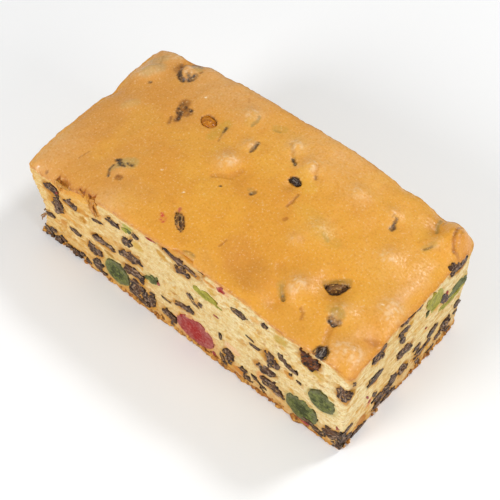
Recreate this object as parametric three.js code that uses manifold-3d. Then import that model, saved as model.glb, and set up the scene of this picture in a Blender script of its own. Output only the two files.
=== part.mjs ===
// A slice of fruit slab cake: an oblong block of pale crumb under a smooth baked skin, cut on all
// four sides, with glace cherries and raisins set in it.
//
// The block is one solid. It starts as a stretch of the slab with a domed, knuckled top, and is cut
// to its outline, with a ragged hollow at its left end. Each large fruit is a solid of its own in a
// pocket of the block, cut flush with the side that it shows on. Small fruit is fused to the block
// as low relief. Millimetres, +Z up, X along the slice. The origin is the middle of the base.

import * as THREE from "three";
import { mergeVertices } from "three/addons/utils/BufferGeometryUtils.js";
import Module from "manifold-3d";

const wasm = await Module();
wasm.setup();

// ---------------------------------------------------------------- driving dimensions

const LENGTH = 170;
const WIDTH = 82;
// Height of the top skin at the four corners, and how far it domes between them.
const CORNER_HEIGHT = { frontLeft: 45, frontRight: 56.5, backLeft: 54.5, backRight: 57 };
const DOME_ALONG = 7;
const DOME_ACROSS = 2;
// Plan radius of each upright corner.
const CORNER_RADIUS = { frontLeft: 1.2, frontRight: 1.5, backLeft: 5, backRight: 5 };
// The skin turns down at the cuts by this much, over this distance.
const LIP_DROP = 1.3;
const LIP_REACH = 2;
// The back right corner bulges outwards at its top by this much, and its skin rolls over and down.
const CORNER_BULGE = 1.7;
const SAG = { x: 88, y: 45, reach: 8, drop: 8 };

// Cells of the slab's top along and across, with narrow cells beside the cuts.
const CELLS_ALONG = 44;
const CELLS_ACROSS = 22;
const EDGE_STEPS = [-3, 0, 1.6, 4.2];
const CORNER_SEGMENTS = 5;

// The left end is ragged, and hollow under an overhanging skin: cells across and up, how rough it
// is, how far the skin overhangs, and the hollow.
const END_CELLS = [14, 9];
const END_RELIEF = 0.9;
const END_OVERHANG = 1.6;
const END_HOLLOW = { depth: 6, z: 20, reach: 16 };
// The browned base spreads past the cuts as a thin foot.
const FOOT = { left: 1, right: 0.3, front: 1, back: 0.8, height: 1.8 };

// Fruit: what stands proud of the cut, the gap round it, and how wrinkled it is.
const PROUD = 0.4;
const FUSED_PROUD = 0.6;
const GAP = 0.35;
const CHERRY = { wrinkle: 0.04, detail: 2 };
const RAISIN = { wrinkle: 0.12, detail: 1 };
const SMALL_RAISIN = { wrinkle: 0.12, detail: 0 };
// Glace fruit wider than this is a cherry, and what is narrower is a chip as wrinkled as a raisin.
const GLACE_KINDS = ["red", "green", "lime"];
const CHERRY_FROM = 8;
// How deep a fruit in the top lies below the skin, as a part of its thickness.
const TOP_SUNK = 0.34;

// Knuckles of the skin, a bump over buried fruit where rise is positive and a dent where it is not.
const KNUCKLES = [
  { x: -77, y: 27, reach: 6, rise: 1.3 },
  { x: -80, y: 22, reach: 5, rise: 0.8 },
  { x: -71, y: 6, reach: 5, rise: 0.7 },
  { x: -61, y: 34, reach: 4.5, rise: 1.2 },
  { x: -67, y: 38, reach: 4, rise: -1.3 },
  { x: -48, y: -24, reach: 5, rise: 0.9 },
  { x: -34, y: 17, reach: 7, rise: -0.8 },
  { x: -21, y: 29, reach: 5, rise: 1.1 },
  { x: -12, y: 16, reach: 4, rise: 0.9 },
  { x: -14, y: 6, reach: 6, rise: 1.1 },
  { x: -4, y: 1, reach: 5, rise: -0.6 },
  { x: 4, y: 27, reach: 5, rise: 1.2 },
  { x: 16, y: 22, reach: 5, rise: 1.3 },
  { x: 15, y: 11, reach: 5, rise: -0.9 },
  { x: 24, y: -30, reach: 13, rise: -1.4 },
  { x: 37, y: 1, reach: 6, rise: 1.0 },
  { x: 33, y: -9, reach: 4, rise: 0.8 },
  { x: 38, y: 24, reach: 6, rise: 0.8 },
  { x: 49, y: -25, reach: 6, rise: 1.3 },
  { x: 43, y: -33, reach: 5, rise: -1.0 },
  { x: 54, y: 26, reach: 4, rise: 0.8 },
  { x: 58, y: -15, reach: 6, rise: -1.6 },
  { x: 65, y: 8, reach: 6, rise: 1.0 },
  { x: 66, y: -23, reach: 5, rise: 1.6 },
  { x: 71, y: 32, reach: 4, rise: -1.2 },
  { x: 75, y: 25, reach: 4, rise: 1.0 },
  { x: 72, y: -34, reach: 4, rise: 1.0 },
  { x: 80, y: -10, reach: 8, rise: 1.3 },
  { x: 82, y: -23, reach: 3.5, rise: -1.6 },
  { x: 81, y: -33, reach: 5, rise: 1.2 },
  { x: -86, y: -28, reach: 18, rise: 1.6 },
  { x: -85, y: 10, reach: 5, rise: -1.4 },
  { x: -76, y: 41, reach: 8, rise: 1.8 },
  { x: -54, y: 42, reach: 6, rise: 1.2 },
  { x: -36, y: 43, reach: 26, rise: 2.6 },
  { x: 20, y: 42, reach: 26, rise: 2.0 },
  { x: -40, y: -41, reach: 12, rise: 1.4 },
  { x: 53, y: -42, reach: 14, rise: -3.4 },
  { x: 49, y: 43, reach: 4, rise: -1.6 },
  { x: 68, y: 43, reach: 5, rise: -2.6 },
  { x: 80, y: 34, reach: 8, rise: 6.5 },
];

// Where the skin has torn off the front edge near its left end.
const TEAR = { x: -58, half: 11, reach: 3, drop: 5 };

// The large fruit of each face, cherries first and then from left to right. "at" is its place on the
// face: X or Y and then Z on a cut, seen from outside, and X and then Y on the top. "size" is how
// wide and how tall it is there and how far it goes in, and "turn" its tilt in degrees. The back and
// left cuts have the same mix of fruit as the front and right ones.
const FRUIT_OF_FACE = {
  front: [
    { name: "cherry_red", kind: "red", at: [8, 9.8], size: [21, 16.5, 9] },
    { name: "cherry_green_1", kind: "green", at: [-37.5, 10.5], size: [15, 15, 9] },
    { name: "cherry_green_2", kind: "green", at: [65, 10], size: [16.5, 15, 8] },
    { name: "cherry_green_3", kind: "green", at: [74, 26], size: [13, 12.5, 7] },
    { name: "cherry_lime", kind: "lime", at: [14.5, 41.6], size: [13, 5, 4], turn: -8 },
    { name: "chip_green", kind: "green", at: [-15.5, 25.3], size: [6.5, 5.5, 3] },
    { name: "chip_red", kind: "red", at: [23.5, 53.3], size: [5.5, 3.2, 2.5] },
    { name: "raisin_1", kind: "raisin", at: [-74, 38.8], size: [10.5, 5.6, 4], turn: 10 },
    { name: "raisin_2", kind: "raisin", at: [-62.3, 37.2], size: [10, 2.8, 3], turn: 5 },
    { name: "raisin_3", kind: "raisin", at: [-71, 29.8], size: [8, 9, 4], turn: 15 },
    { name: "raisin_4", kind: "raisin", at: [-49.7, 16], size: [9, 7, 4], turn: -10 },
    { name: "raisin_5", kind: "raisin", at: [-44.3, 26.6], size: [12, 4.6, 4] },
    { name: "raisin_6", kind: "raisin", at: [-27, 30.3], size: [12.5, 6.6, 4.5], turn: 10 },
    { name: "raisin_7", kind: "raisin", at: [-25.8, 20.2], size: [13, 6, 4], turn: 3 },
    { name: "raisin_8", kind: "raisin", at: [-24.8, 11.6], size: [8.5, 7.5, 4], turn: -25 },
    { name: "raisin_9", kind: "raisin", at: [-19, 7], size: [7.5, 10.5, 4], turn: -20 },
    { name: "raisin_10", kind: "raisin", at: [-6.3, 7.6], size: [7.5, 4.5, 3.5] },
    { name: "raisin_11", kind: "raisin", at: [2, 22.2], size: [12, 2.8, 3], turn: 14 },
    { name: "raisin_12", kind: "raisin", at: [2.8, 46.7], size: [9, 4, 3.5], turn: 12 },
    { name: "raisin_13", kind: "raisin", at: [2.5, 52], size: [21, 3.2, 4], turn: -9 },
    { name: "raisin_14", kind: "raisin", at: [67, 48.2], size: [10, 9.5, 5], turn: -35 },
    { name: "raisin_15", kind: "raisin", at: [48.6, 30], size: [7, 9.8, 4], turn: 22 },
    { name: "raisin_16", kind: "raisin", at: [45.3, 19.7], size: [10.5, 4, 3.5], turn: -4 },
    { name: "raisin_17", kind: "raisin", at: [50, 10.6], size: [12.5, 4.8, 4], turn: -22 },
    { name: "raisin_18", kind: "raisin", at: [26.6, 10.5], size: [4.8, 8.8, 3.5], turn: -5 },
    { name: "raisin_19", kind: "raisin", at: [80.8, 8.6], size: [8, 6.5, 4], turn: 10 },
    { name: "raisin_20", kind: "raisin", at: [83.6, 41], size: [7.5, 9.5, 4], turn: 10 },
  ],
  right: [
    { name: "cherry_lime", kind: "lime", at: [15, 44], size: [11, 12, 6], turn: 30 },
    { name: "cherry_green", kind: "green", at: [33, 34.5], size: [14, 7, 5], turn: 10 },
    { name: "raisin_1", kind: "raisin", at: [-22.5, 49], size: [8.5, 7.5, 4] },
    { name: "raisin_2", kind: "raisin", at: [-4.8, 53], size: [9, 4.6, 4] },
    { name: "raisin_3", kind: "raisin", at: [-3, 29], size: [10, 5.6, 4], turn: -20 },
    { name: "raisin_4", kind: "raisin", at: [-14, 9.5], size: [10, 9, 4.5], turn: -35 },
    { name: "raisin_5", kind: "raisin", at: [-1, 12.5], size: [5.5, 9, 4], turn: 25 },
    { name: "raisin_6", kind: "raisin", at: [12.5, 10.2], size: [10.5, 4.6, 4], turn: 8 },
    { name: "raisin_7", kind: "raisin", at: [30, 10], size: [5, 10.5, 4], turn: 32 },
    { name: "raisin_8", kind: "raisin", at: [28.5, 51], size: [12, 4.6, 4], turn: -25 },
  ],
  top: [
    { name: "raisin_1", kind: "raisin", at: [57.6, -14], size: [9, 4.8, 5], turn: 50 },
    { name: "raisin_2", kind: "raisin", at: [70.5, -39], size: [5, 5.6, 5], turn: 0 },
    { name: "raisin_3", kind: "raisin", at: [-8.5, -29.3], size: [11.5, 4.4, 5], turn: -40 },
    { name: "raisin_4", kind: "sultana", at: [-34.4, 17], size: [9.5, 7.2, 6], turn: -30 },
    { name: "raisin_5", kind: "raisin", at: [15, 13.5], size: [6.8, 3.8, 5], turn: -4 },
    { name: "raisin_6", kind: "raisin", at: [-60.8, 33.8], size: [10.5, 9.5, 4.5], turn: 0 },
  ],
  back: [
    { name: "cherry_red", kind: "red", at: [-48, 17], size: [17, 14, 8] },
    { name: "cherry_green", kind: "green", at: [18, 12], size: [15, 15, 8] },
    { name: "raisin_1", kind: "raisin", at: [-66, 36], size: [11, 5, 4], turn: -8 },
    { name: "raisin_2", kind: "raisin", at: [-22, 8], size: [12, 6.5, 4], turn: 10 },
    { name: "raisin_3", kind: "raisin", at: [-8, 31], size: [10, 6, 4], turn: -15 },
    { name: "raisin_4", kind: "raisin", at: [44, 24], size: [9, 7, 4], turn: 25 },
    { name: "raisin_5", kind: "raisin", at: [60, 8], size: [12, 6, 4], turn: 5 },
  ],
  left: [
    { name: "cherry_green", kind: "green", at: [14, 13], size: [14, 13.5, 7] },
    { name: "raisin_1", kind: "raisin", at: [-20, 9], size: [11, 6, 4], turn: 12 },
    { name: "raisin_2", kind: "raisin", at: [-6, 32], size: [9, 5, 4], turn: -14 },
  ],
};
const FRUIT = Object.entries(FRUIT_OF_FACE).flatMap(([face, fruits]) =>
  fruits.map((fruit) => ({ ...fruit, face, name: `${face}_${fruit.name}` })),
);

// Small fruit, fused to the block as low relief, placed in the same way.
const SMALL_FRUIT = [
  { face: "front", at: [-61.3, 19.5], size: [6.5, 3.2] },
  { face: "front", at: [-49.3, 6.4], size: [5.5, 7.5] },
  { face: "front", at: [-36, 46.6], size: [7.5, 3.2] },
  { face: "front", at: [-28.3, 40.2], size: [6.5, 4.6], turn: 60 },
  { face: "front", at: [7.5, 32.5], size: [7, 4], turn: -30 },
  { face: "front", at: [32.6, 46], size: [7.5, 4], turn: -8 },
  { face: "front", at: [56.6, 35.3], size: [8, 3.4], turn: -22 },
  { face: "front", at: [36.8, 4.4], size: [4.5, 6.5] },
  { face: "front", at: [74.5, 2.9], size: [8, 4.2], turn: 12 },
  { face: "right", at: [-23, 33.2], size: [8.5, 5] },
  { face: "right", at: [18.5, 18], size: [6, 4] },
  { face: "right", at: [36.3, 18], size: [4.5, 5] },
  { face: "right", at: [-35.5, 6], size: [6.5, 8], turn: 20 },
  { face: "right", at: [24.6, 7.6], size: [5, 4.6] },
  { face: "right", at: [-6, 39.8], size: [3.2, 6] },
];
// More of it on the two far cuts, spread by a rule: how many, how large, how far from the rim of
// other fruit and from the upright corners, and between which heights.
const SPREAD = [
  { face: "back", count: 12, span: LENGTH },
  { face: "left", count: 6, span: WIDTH },
];
const SPREAD_SIZE = [7, 3.6];
const SPREAD_CLEAR = 6;
const SPREAD_INSET = 8;
const SPREAD_HEIGHTS = [5, 45];
const SPREAD_TURN = 25;

// ---------------------------------------------------------------- form of the block

const HALF_LENGTH = LENGTH / 2;
const HALF_WIDTH = WIDTH / 2;
// Taller than the highest knuckle, for the solids that cut.
const CLEAR_HEIGHT = 90;
const { hypot, min, max, abs, exp, sin, PI } = Math;

// A smooth wave with no plain repeat, from -1 to 1, for relief.
function ripple(p, q) {
  return sin(0.9 * p + 1.3 * sin(0.7 * q)) * sin(1.1 * q + 0.8 * sin(0.5 * p));
}

function mound(x, y, spot) {
  return exp(-((x - spot.x) ** 2 + (y - spot.y) ** 2) / spot.reach ** 2);
}

// Height of the top skin over a place in plan.
function topHeight(x, y) {
  const u = x / HALF_LENGTH;
  const v = y / HALF_WIDTH;
  const right = (1 + u) / 2;
  const back = (1 + v) / 2;
  const front = CORNER_HEIGHT.frontLeft * (1 - right) + CORNER_HEIGHT.frontRight * right;
  const rear = CORNER_HEIGHT.backLeft * (1 - right) + CORNER_HEIGHT.backRight * right;
  let z = front * (1 - back) + rear * back;
  z += DOME_ALONG * (1 - u * u) + DOME_ACROSS * (1 - v * v);
  for (const knuckle of KNUCKLES) z += knuckle.rise * mound(x, y, knuckle);
  const toEdge = max(0, min(HALF_LENGTH - abs(x), HALF_WIDTH - abs(y)));
  z -= LIP_DROP * exp(-toEdge / LIP_REACH);
  z -= SAG.drop * mound(x, y, SAG);
  const torn = exp(-(((x - TEAR.x) / TEAR.half) ** 4)) * exp(-((y + HALF_WIDTH) / TEAR.reach));
  return z - TEAR.drop * min(1, torn);
}

// Grid lines of the slab from one edge to the other, with the narrow steps beside both.
function stations(size, cells) {
  const half = size / 2;
  const inner = half - EDGE_STEPS.at(-1);
  const middle = cells - 2 * (EDGE_STEPS.length - 1);
  const lines = EDGE_STEPS.map((step) => step - half);
  for (let i = 1; i < middle; i += 1) lines.push(-inner + (2 * inner * i) / middle);
  return lines.concat(EDGE_STEPS.map((step) => half - step).reverse());
}

// The slab round the slice: a box whose top is the baked skin, raised by "grow".
function slabGeometry(grow) {
  const linesX = stations(LENGTH, CELLS_ALONG);
  const linesY = stations(WIDTH, CELLS_ACROSS);
  const slab = new THREE.BoxGeometry(1, 1, 1, CELLS_ALONG, CELLS_ACROSS, 1);
  const place = slab.attributes.position;
  for (let i = 0; i < place.count; i += 1) {
    const x = linesX[Math.round((place.getX(i) + 0.5) * CELLS_ALONG)];
    const y = linesY[Math.round((place.getY(i) + 0.5) * CELLS_ACROSS)];
    const z = place.getZ(i) > 0 ? topHeight(x, y) + grow : -CLEAR_HEIGHT;
    place.setXYZ(i, x, y, z);
  }
  return slab;
}

// The outline that the knife leaves, with its upright corners rounded and the left end's overhang,
// moved out by "grow".
function outlineGeometry(grow) {
  const corners = [
    { x: 1, y: 1, radius: CORNER_RADIUS.backRight },
    { x: -1, y: 1, radius: CORNER_RADIUS.backLeft },
    { x: -1, y: -1, radius: CORNER_RADIUS.frontLeft },
    { x: 1, y: -1, radius: CORNER_RADIUS.frontRight },
  ];
  const outline = new THREE.Shape();
  corners.forEach(({ x, y, radius }, quarter) => {
    const start = (quarter * PI) / 2;
    const overhang = x < 0 ? END_OVERHANG : 0;
    const centre = [x * (HALF_LENGTH + overhang - radius), y * (HALF_WIDTH - radius)];
    outline.absarc(...centre, radius + grow, start, start + PI / 2);
  });
  const block = new THREE.ExtrudeGeometry(outline, {
    depth: CLEAR_HEIGHT + grow,
    bevelEnabled: false,
    curveSegments: CORNER_SEGMENTS,
  });
  return bulgeCorner(block.translate(0, 0, -grow));
}

// Leans the rounded back right corner outwards. Its two straight neighbours stay where they are.
function bulgeCorner(block) {
  const [centreX, centreY] = [HALF_LENGTH, HALF_WIDTH].map((half) => half - CORNER_RADIUS.backRight);
  const place = block.attributes.position;
  for (let i = 0; i < place.count; i += 1) {
    const [dx, dy] = [place.getX(i) - centreX, place.getY(i) - centreY];
    if (dx <= 0 || dy <= 0) continue;
    const lean = (CORNER_BULGE * max(0, place.getZ(i))) / CORNER_HEIGHT.backRight;
    const push = (lean * 2 * dx * dy) / hypot(dx, dy) ** 3;
    place.setX(i, place.getX(i) + dx * push);
    place.setY(i, place.getY(i) + dy * push);
  }
  return block;
}

// Where the left end lies at a height, before its relief.
function leftEnd(z) {
  const hollow = END_HOLLOW.depth * exp(-(((z - END_HOLLOW.z) / END_HOLLOW.reach) ** 2));
  return hollow - HALF_LENGTH - END_OVERHANG;
}

// What is missing from the left end: a box whose inner face is the ragged end.
function missingEndGeometry(grow) {
  const [across, up] = END_CELLS;
  const missing = new THREE.BoxGeometry(1, WIDTH * 1.2, CLEAR_HEIGHT * 1.2, 1, across, up);
  missing.translate(0, 0, CLEAR_HEIGHT / 2);
  const place = missing.attributes.position;
  for (let i = 0; i < place.count; i += 1) {
    const [y, z] = [place.getY(i), place.getZ(i)];
    const relief = END_RELIEF * (0.5 + 0.5 * ripple(y * 0.35, z * 0.3));
    place.setX(i, place.getX(i) > 0 ? leftEnd(z) + relief - grow : -LENGTH);
  }
  return missing;
}

// The foot of the browned base, a plate under the block.
function footGeometry() {
  const length = FOOT.left + LENGTH + FOOT.right;
  const width = FOOT.front + WIDTH + FOOT.back;
  const plate = new THREE.BoxGeometry(length, width, FOOT.height);
  return plate.translate((FOOT.right - FOOT.left) / 2, (FOOT.back - FOOT.front) / 2, FOOT.height / 2);
}

// ---------------------------------------------------------------- solids

function solidOf(geometry) {
  const bare = geometry.clone();
  bare.deleteAttribute("normal");
  bare.deleteAttribute("uv");
  const merged = mergeVertices(bare, 1e-4);
  return new wasm.Manifold(
    new wasm.Mesh({
      numProp: 3,
      vertProperties: new Float32Array(merged.attributes.position.array),
      triVerts: new Uint32Array(merged.index.array),
    }),
  );
}

function geometryOf(solid) {
  const mesh = solid.getMesh();
  const geometry = new THREE.BufferGeometry();
  geometry.setAttribute("position", new THREE.BufferAttribute(mesh.vertProperties, 3));
  geometry.setIndex(new THREE.BufferAttribute(mesh.triVerts, 1));
  return geometry;
}

// The largest piece of a solid that a cut has left in several.
function mainPiece(solid) {
  return solid.decompose().sort((a, b) => b.volume() - a.volume())[0];
}

// The cut block, moved out by "grow" all round for cutting fruit to it.
function blockSolid(grow = 0) {
  return solidOf(slabGeometry(grow))
    .intersect(solidOf(outlineGeometry(grow)))
    .subtract(solidOf(missingEndGeometry(grow)));
}

// ---------------------------------------------------------------- fruit

// Where a fruit sits: its own X runs along the face, its own Y up it and its own Z out of it.
function faceMatrix({ face, at: [u, v], turn = 0 }) {
  const X = new THREE.Vector3(1, 0, 0);
  const Y = new THREE.Vector3(0, 1, 0);
  const Z = new THREE.Vector3(0, 0, 1);
  const [left, front] = [X.clone().negate(), Y.clone().negate()];
  const frames = {
    front: { along: X, up: Z, out: front, centre: [u, -HALF_WIDTH, v] },
    back: { along: left, up: Z, out: Y, centre: [-u, HALF_WIDTH, v] },
    right: { along: Y, up: Z, out: X, centre: [HALF_LENGTH, u, v] },
    left: { along: front, up: Z, out: left, centre: [leftEnd(v) + END_RELIEF / 2, -u, v] },
    top: { along: X, up: Y, out: Z, centre: [u, v, topHeight(u, v)] },
  };
  const { along, up, out, centre } = frames[face];
  return new THREE.Matrix4()
    .makeBasis(along, up, out)
    .setPosition(...centre)
    .multiply(new THREE.Matrix4().makeRotationZ((turn * PI) / 180));
}

// A wrinkled, flattened ball, grown by "grow" on every side, in place on its face. A fruit in a cut
// is centred on the cut, so that the knife went through its middle. One in the top is sunk.
function fruitSolid(fruit, { wrinkle, detail }, grow = 0) {
  const [wide, tall, deep = min(...fruit.size)] = fruit.size;
  const onTop = fruit.face === "top";
  const reach = onTop ? deep / 2 : deep;
  const sunk = onTop ? -deep * TOP_SUNK : 0;
  const ball = new THREE.IcosahedronGeometry(1, detail);
  const place = ball.attributes.position;
  const seed = fruit.at[0] * 0.7 + fruit.at[1] * 1.3;
  for (let i = 0; i < place.count; i += 1) {
    const [a, b, c] = [place.getX(i), place.getY(i), place.getZ(i)];
    const swell = 1 + wrinkle * ripple(4 * a + seed, 4 * b + 3 * c + seed);
    const along = a * ((wide / 2) * swell + grow);
    const up = b * ((tall / 2) * swell + grow);
    place.setXYZ(i, along, up, c * (reach * swell + grow) + sunk);
  }
  return solidOf(ball.applyMatrix4(faceMatrix(fruit)));
}

// Each large fruit as { name, kind, solid, pocket }: cut flush with the block, and clear of the
// fruit placed before it.
function placeFruit() {
  const cutEnvelope = blockSolid(PROUD);
  const topEnvelope = solidOf(outlineGeometry(PROUD));
  const placed = [];
  for (const fruit of FRUIT) {
    const isCherry = GLACE_KINDS.includes(fruit.kind) && fruit.size[0] > CHERRY_FROM;
    const form = isCherry ? CHERRY : RAISIN;
    const pocket = fruitSolid(fruit, form, GAP);
    const envelope = fruit.face === "top" ? topEnvelope : cutEnvelope;
    let solid = fruitSolid(fruit, form).intersect(envelope);
    for (const other of placed) solid = solid.subtract(other.pocket);
    placed.push({ name: fruit.name, kind: fruit.kind, solid: mainPiece(solid), pocket });
  }
  return placed;
}

// The part of a number after its point, which steps evenly through 0 to 1 as i counts up.
function evenStep(i, stride) {
  return (i * stride) % 1;
}

// Small fruit on the far cuts, by a rule that spreads it evenly and keeps clear of the large fruit.
function spreadFruit() {
  const [strideU, strideV] = [0.7548776662, 0.569840291];
  const [low, high] = SPREAD_HEIGHTS;
  const spread = [];
  for (const { face, count, span } of SPREAD) {
    const taken = FRUIT.filter((fruit) => fruit.face === face);
    const wanted = taken.length + count;
    for (let i = 1; taken.length < wanted; i += 1) {
      const u = (evenStep(i, strideU) - 0.5) * (span - 2 * SPREAD_INSET);
      // Fruit sinks in the batter, so more of it lies low.
      const v = low + (high - low) * evenStep(i, strideV) ** 1.4;
      const toRim = ({ at, size }) => hypot(at[0] - u, at[1] - v) - size[0] / 2;
      if (taken.some((fruit) => toRim(fruit) < SPREAD_CLEAR)) continue;
      const growth = 0.8 + 0.4 * evenStep(i, 3 * strideV);
      const size = SPREAD_SIZE.map((side) => side * growth);
      const turn = SPREAD_TURN * (2 * evenStep(i, 2 * strideU) - 1);
      const small = { face, at: [u, v], size, turn };
      taken.push(small);
      spread.push(small);
    }
  }
  return spread;
}

// ---------------------------------------------------------------- finishes

const FINISH = {
  cake: { color: 0xe3b368, roughness: 0.7, metalness: 0 },
  raisin: { color: 0x4a352c, roughness: 0.45, metalness: 0 },
  sultana: { color: 0xa0601a, roughness: 0.35, metalness: 0 },
  red: { color: 0xa83438, roughness: 0.35, metalness: 0 },
  green: { color: 0x55663a, roughness: 0.35, metalness: 0 },
  lime: { color: 0x8f9a3e, roughness: 0.4, metalness: 0 },
};

function meshOf(name, solid, kind) {
  const material = new THREE.MeshStandardMaterial(FINISH[kind]);
  const mesh = new THREE.Mesh(geometryOf(solid), material);
  mesh.name = name;
  return mesh;
}

// ---------------------------------------------------------------- the slice

function buildSlice() {
  const fruit = placeFruit();
  const envelope = blockSolid(FUSED_PROUD);
  const foot = solidOf(footGeometry()).intersect(solidOf(outlineGeometry(FOOT.front)));
  let block = blockSolid().add(foot);
  for (const small of [...SMALL_FRUIT, ...spreadFruit()]) {
    block = block.add(fruitSolid(small, SMALL_RAISIN).intersect(envelope));
  }
  for (const { pocket } of fruit) block = block.subtract(pocket);

  const slice = new THREE.Group();
  slice.add(meshOf("cake", mainPiece(block), "cake"));
  for (const { name, kind, solid } of fruit) slice.add(meshOf(name, solid, kind));

  // Centre the slice on its own outline, so that the origin is the middle of the base.
  const bounds = new THREE.Box3().setFromObject(slice);
  const middle = bounds.getCenter(new THREE.Vector3());
  slice.position.set(-middle.x, -middle.y, -bounds.min.z);
  return slice;
}

const slice = buildSlice();

export default slice;
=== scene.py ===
from math import cos, pi, radians, sin

import bpy
import numpy as np
from mathutils import Matrix, Vector
from mathutils.bvhtree import BVHTree


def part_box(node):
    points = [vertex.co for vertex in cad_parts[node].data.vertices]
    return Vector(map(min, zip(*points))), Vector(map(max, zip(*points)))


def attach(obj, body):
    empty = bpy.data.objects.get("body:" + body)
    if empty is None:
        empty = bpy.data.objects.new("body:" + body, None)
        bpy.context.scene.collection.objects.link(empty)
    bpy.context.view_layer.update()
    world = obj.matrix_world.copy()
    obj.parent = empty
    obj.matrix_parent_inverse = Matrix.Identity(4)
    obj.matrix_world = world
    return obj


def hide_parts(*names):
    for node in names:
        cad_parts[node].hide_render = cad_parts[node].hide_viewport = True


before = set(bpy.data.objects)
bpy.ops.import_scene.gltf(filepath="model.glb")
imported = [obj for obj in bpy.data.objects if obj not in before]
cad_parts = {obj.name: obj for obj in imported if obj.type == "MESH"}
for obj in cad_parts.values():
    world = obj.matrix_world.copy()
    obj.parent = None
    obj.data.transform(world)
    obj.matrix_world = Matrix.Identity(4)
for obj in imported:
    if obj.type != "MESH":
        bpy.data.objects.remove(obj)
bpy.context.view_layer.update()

# ---- Crumb -------------------------------------------------------------------------------------
# The soft inside of the cake: butter batter baked in a slab, then cut through on four sides with a
# serrated knife. The cut shows level streaks, open pores and amber flecks of peel, and the left end
# broke away raggedly under the skin.

MILLIMETRE = 0.001
# The block's own middle in the frame. Its overhanging left end puts it off the origin.
MIDDLE = np.array((0.241, 0.1, 0.0))
LENGTH = 170.0
WIDTH = 82.0
END_OVERHANG = 1.6
CORNERS = {"back_right": 5.0, "back_left": 5.0, "front_left": 1.2, "front_right": 1.5}
CORNER_BULGE = 0.6
SKIN_THICKNESS = 0.9
CRUMB_FOOT = 0.6
# How far the crumb and the skin have dropped along the torn part of the front edge.
CRUMB_DROP = 3.5
SKIN_DROP = 1.0
# Where the broken left end begins.
BROKEN_FROM = -68.0
# The block's height at its corners, before the bumps, and how far its top domes each way.
CORNER_HEIGHTS = {"front_left": 45, "front_right": 56.5, "back_left": 54.5, "back_right": 57}
DOME_ALONG = 7
DOME_ACROSS = 2

# The skin's bumps over buried fruit and its dents: x, y, reach and rise. The last two shape the
# back right corner.
KNUCKLES = (
    (-77, 27, 6, 1.3), (-80, 22, 5, 0.8), (-71, 6, 5, 0.7), (-61, 34, 4.5, 1.2),
    (-67, 38, 4, -1.3), (-48, -24, 5, 0.9), (-34, 17, 7, -0.8), (-21, 29, 5, 1.1),
    (-12, 16, 4, 0.9), (-13, 4, 6, 1.5), (-4, 1, 5, -0.6), (4, 27, 5, 1.2),
    (16, 22, 5, 1.3), (15, 11, 5, -0.9), (24, -30, 13, -1.4), (37, 1, 6, 1.0),
    (33, -9, 4, 0.8), (38, 24, 6, 0.8), (47, -24.6, 6, 1.6), (43, -33, 5, -1.0),
    (54, 26, 4, 0.8), (58, -15, 6, -1.6), (65, 8, 6, 1.0), (66, -23, 5, 1.6),
    (71, 32, 4, -1.2), (75, 25, 4, 1.0), (75, -35, 6, 1.0), (80, -10, 8, 1.3),
    (82, -23, 3.5, -1.6), (81, -33, 5, 1.2), (-86, -28, 18, 1.6), (-85, 10, 5, -1.4),
    (-76, 41, 8, 1.8), (-54, 42, 6, 1.2), (-36, 43, 26, 2.6), (20, 42, 26, 2.0),
    (-40, -41, 12, 1.4), (53, -42, 14, -3.4), (49, 43, 4, -1.6), (68, 43, 5, -2.6),
    (80, 34, 8, 6.5), (88, 45, 8, -8.0),
)


def smooth_step(low, high, values):
    share = np.clip((values - low) / (high - low), 0, 1)
    return share * share * (3 - 2 * share)


def skin_height(x, y, tear):
    """Height of the skin over places in plan. "tear" is how far its torn front edge has dropped."""
    x, y = np.clip(x, -LENGTH / 2, LENGTH / 2), np.clip(y, -WIDTH / 2, WIDTH / 2)
    u, v = 2 * x / LENGTH, 2 * y / WIDTH
    right, back = (1 + u) / 2, (1 + v) / 2
    front_edge = CORNER_HEIGHTS["front_left"] * (1 - right) + CORNER_HEIGHTS["front_right"] * right
    back_edge = CORNER_HEIGHTS["back_left"] * (1 - right) + CORNER_HEIGHTS["back_right"] * right
    height = front_edge * (1 - back)
    height += back_edge * back
    height += DOME_ALONG * (1 - u * u) + DOME_ACROSS * (1 - v * v)
    for knuckle_x, knuckle_y, reach, rise in KNUCKLES:
        away = np.hypot(x - knuckle_x, y - knuckle_y) / reach
        height += rise * np.exp(-(away**2))
        # Inside the edges the skin is drawn tight over its fruit, so each bump has a crisper core.
        if abs(rise) < 2 and abs(knuckle_y) < 36:
            height += 0.25 * rise * np.exp(-(away**2)) + 0.5 * rise * np.exp(-((away / 0.5) ** 2))
    to_edge = np.maximum(0, np.minimum(LENGTH / 2 - abs(x), WIDTH / 2 - abs(y)))
    height -= 1.3 * np.exp(-to_edge / 2)
    torn = np.exp(-(((x + 58) / 11) ** 4)) * np.exp(-(y + WIDTH / 2) / 3)
    height -= tear * np.minimum(1, torn)
    # It rolls down over the right cut, and folds furthest beside the back corner.
    roll = 2.2 + 1.2 * np.exp(-(((y + 37) / 7) ** 2)) + 1.0 * np.exp(-((y / 7) ** 2))
    roll += 2.4 * smooth_step(22, 29, y) * smooth_step(42, 36, y)
    ease = 1.7 * smooth_step(30, 18, y)
    from_cut = x - LENGTH / 2
    height -= ease * np.exp(from_cut / 4.5) + (roll - ease) * np.exp(from_cut / 1.6)
    # Its front edge droops beside the tear.
    droop = smooth_step(-83, -78, x) * smooth_step(-67, -71, x)
    return height - 1.6 * droop * np.exp(-(y + WIDTH / 2) / 1.6)


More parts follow.
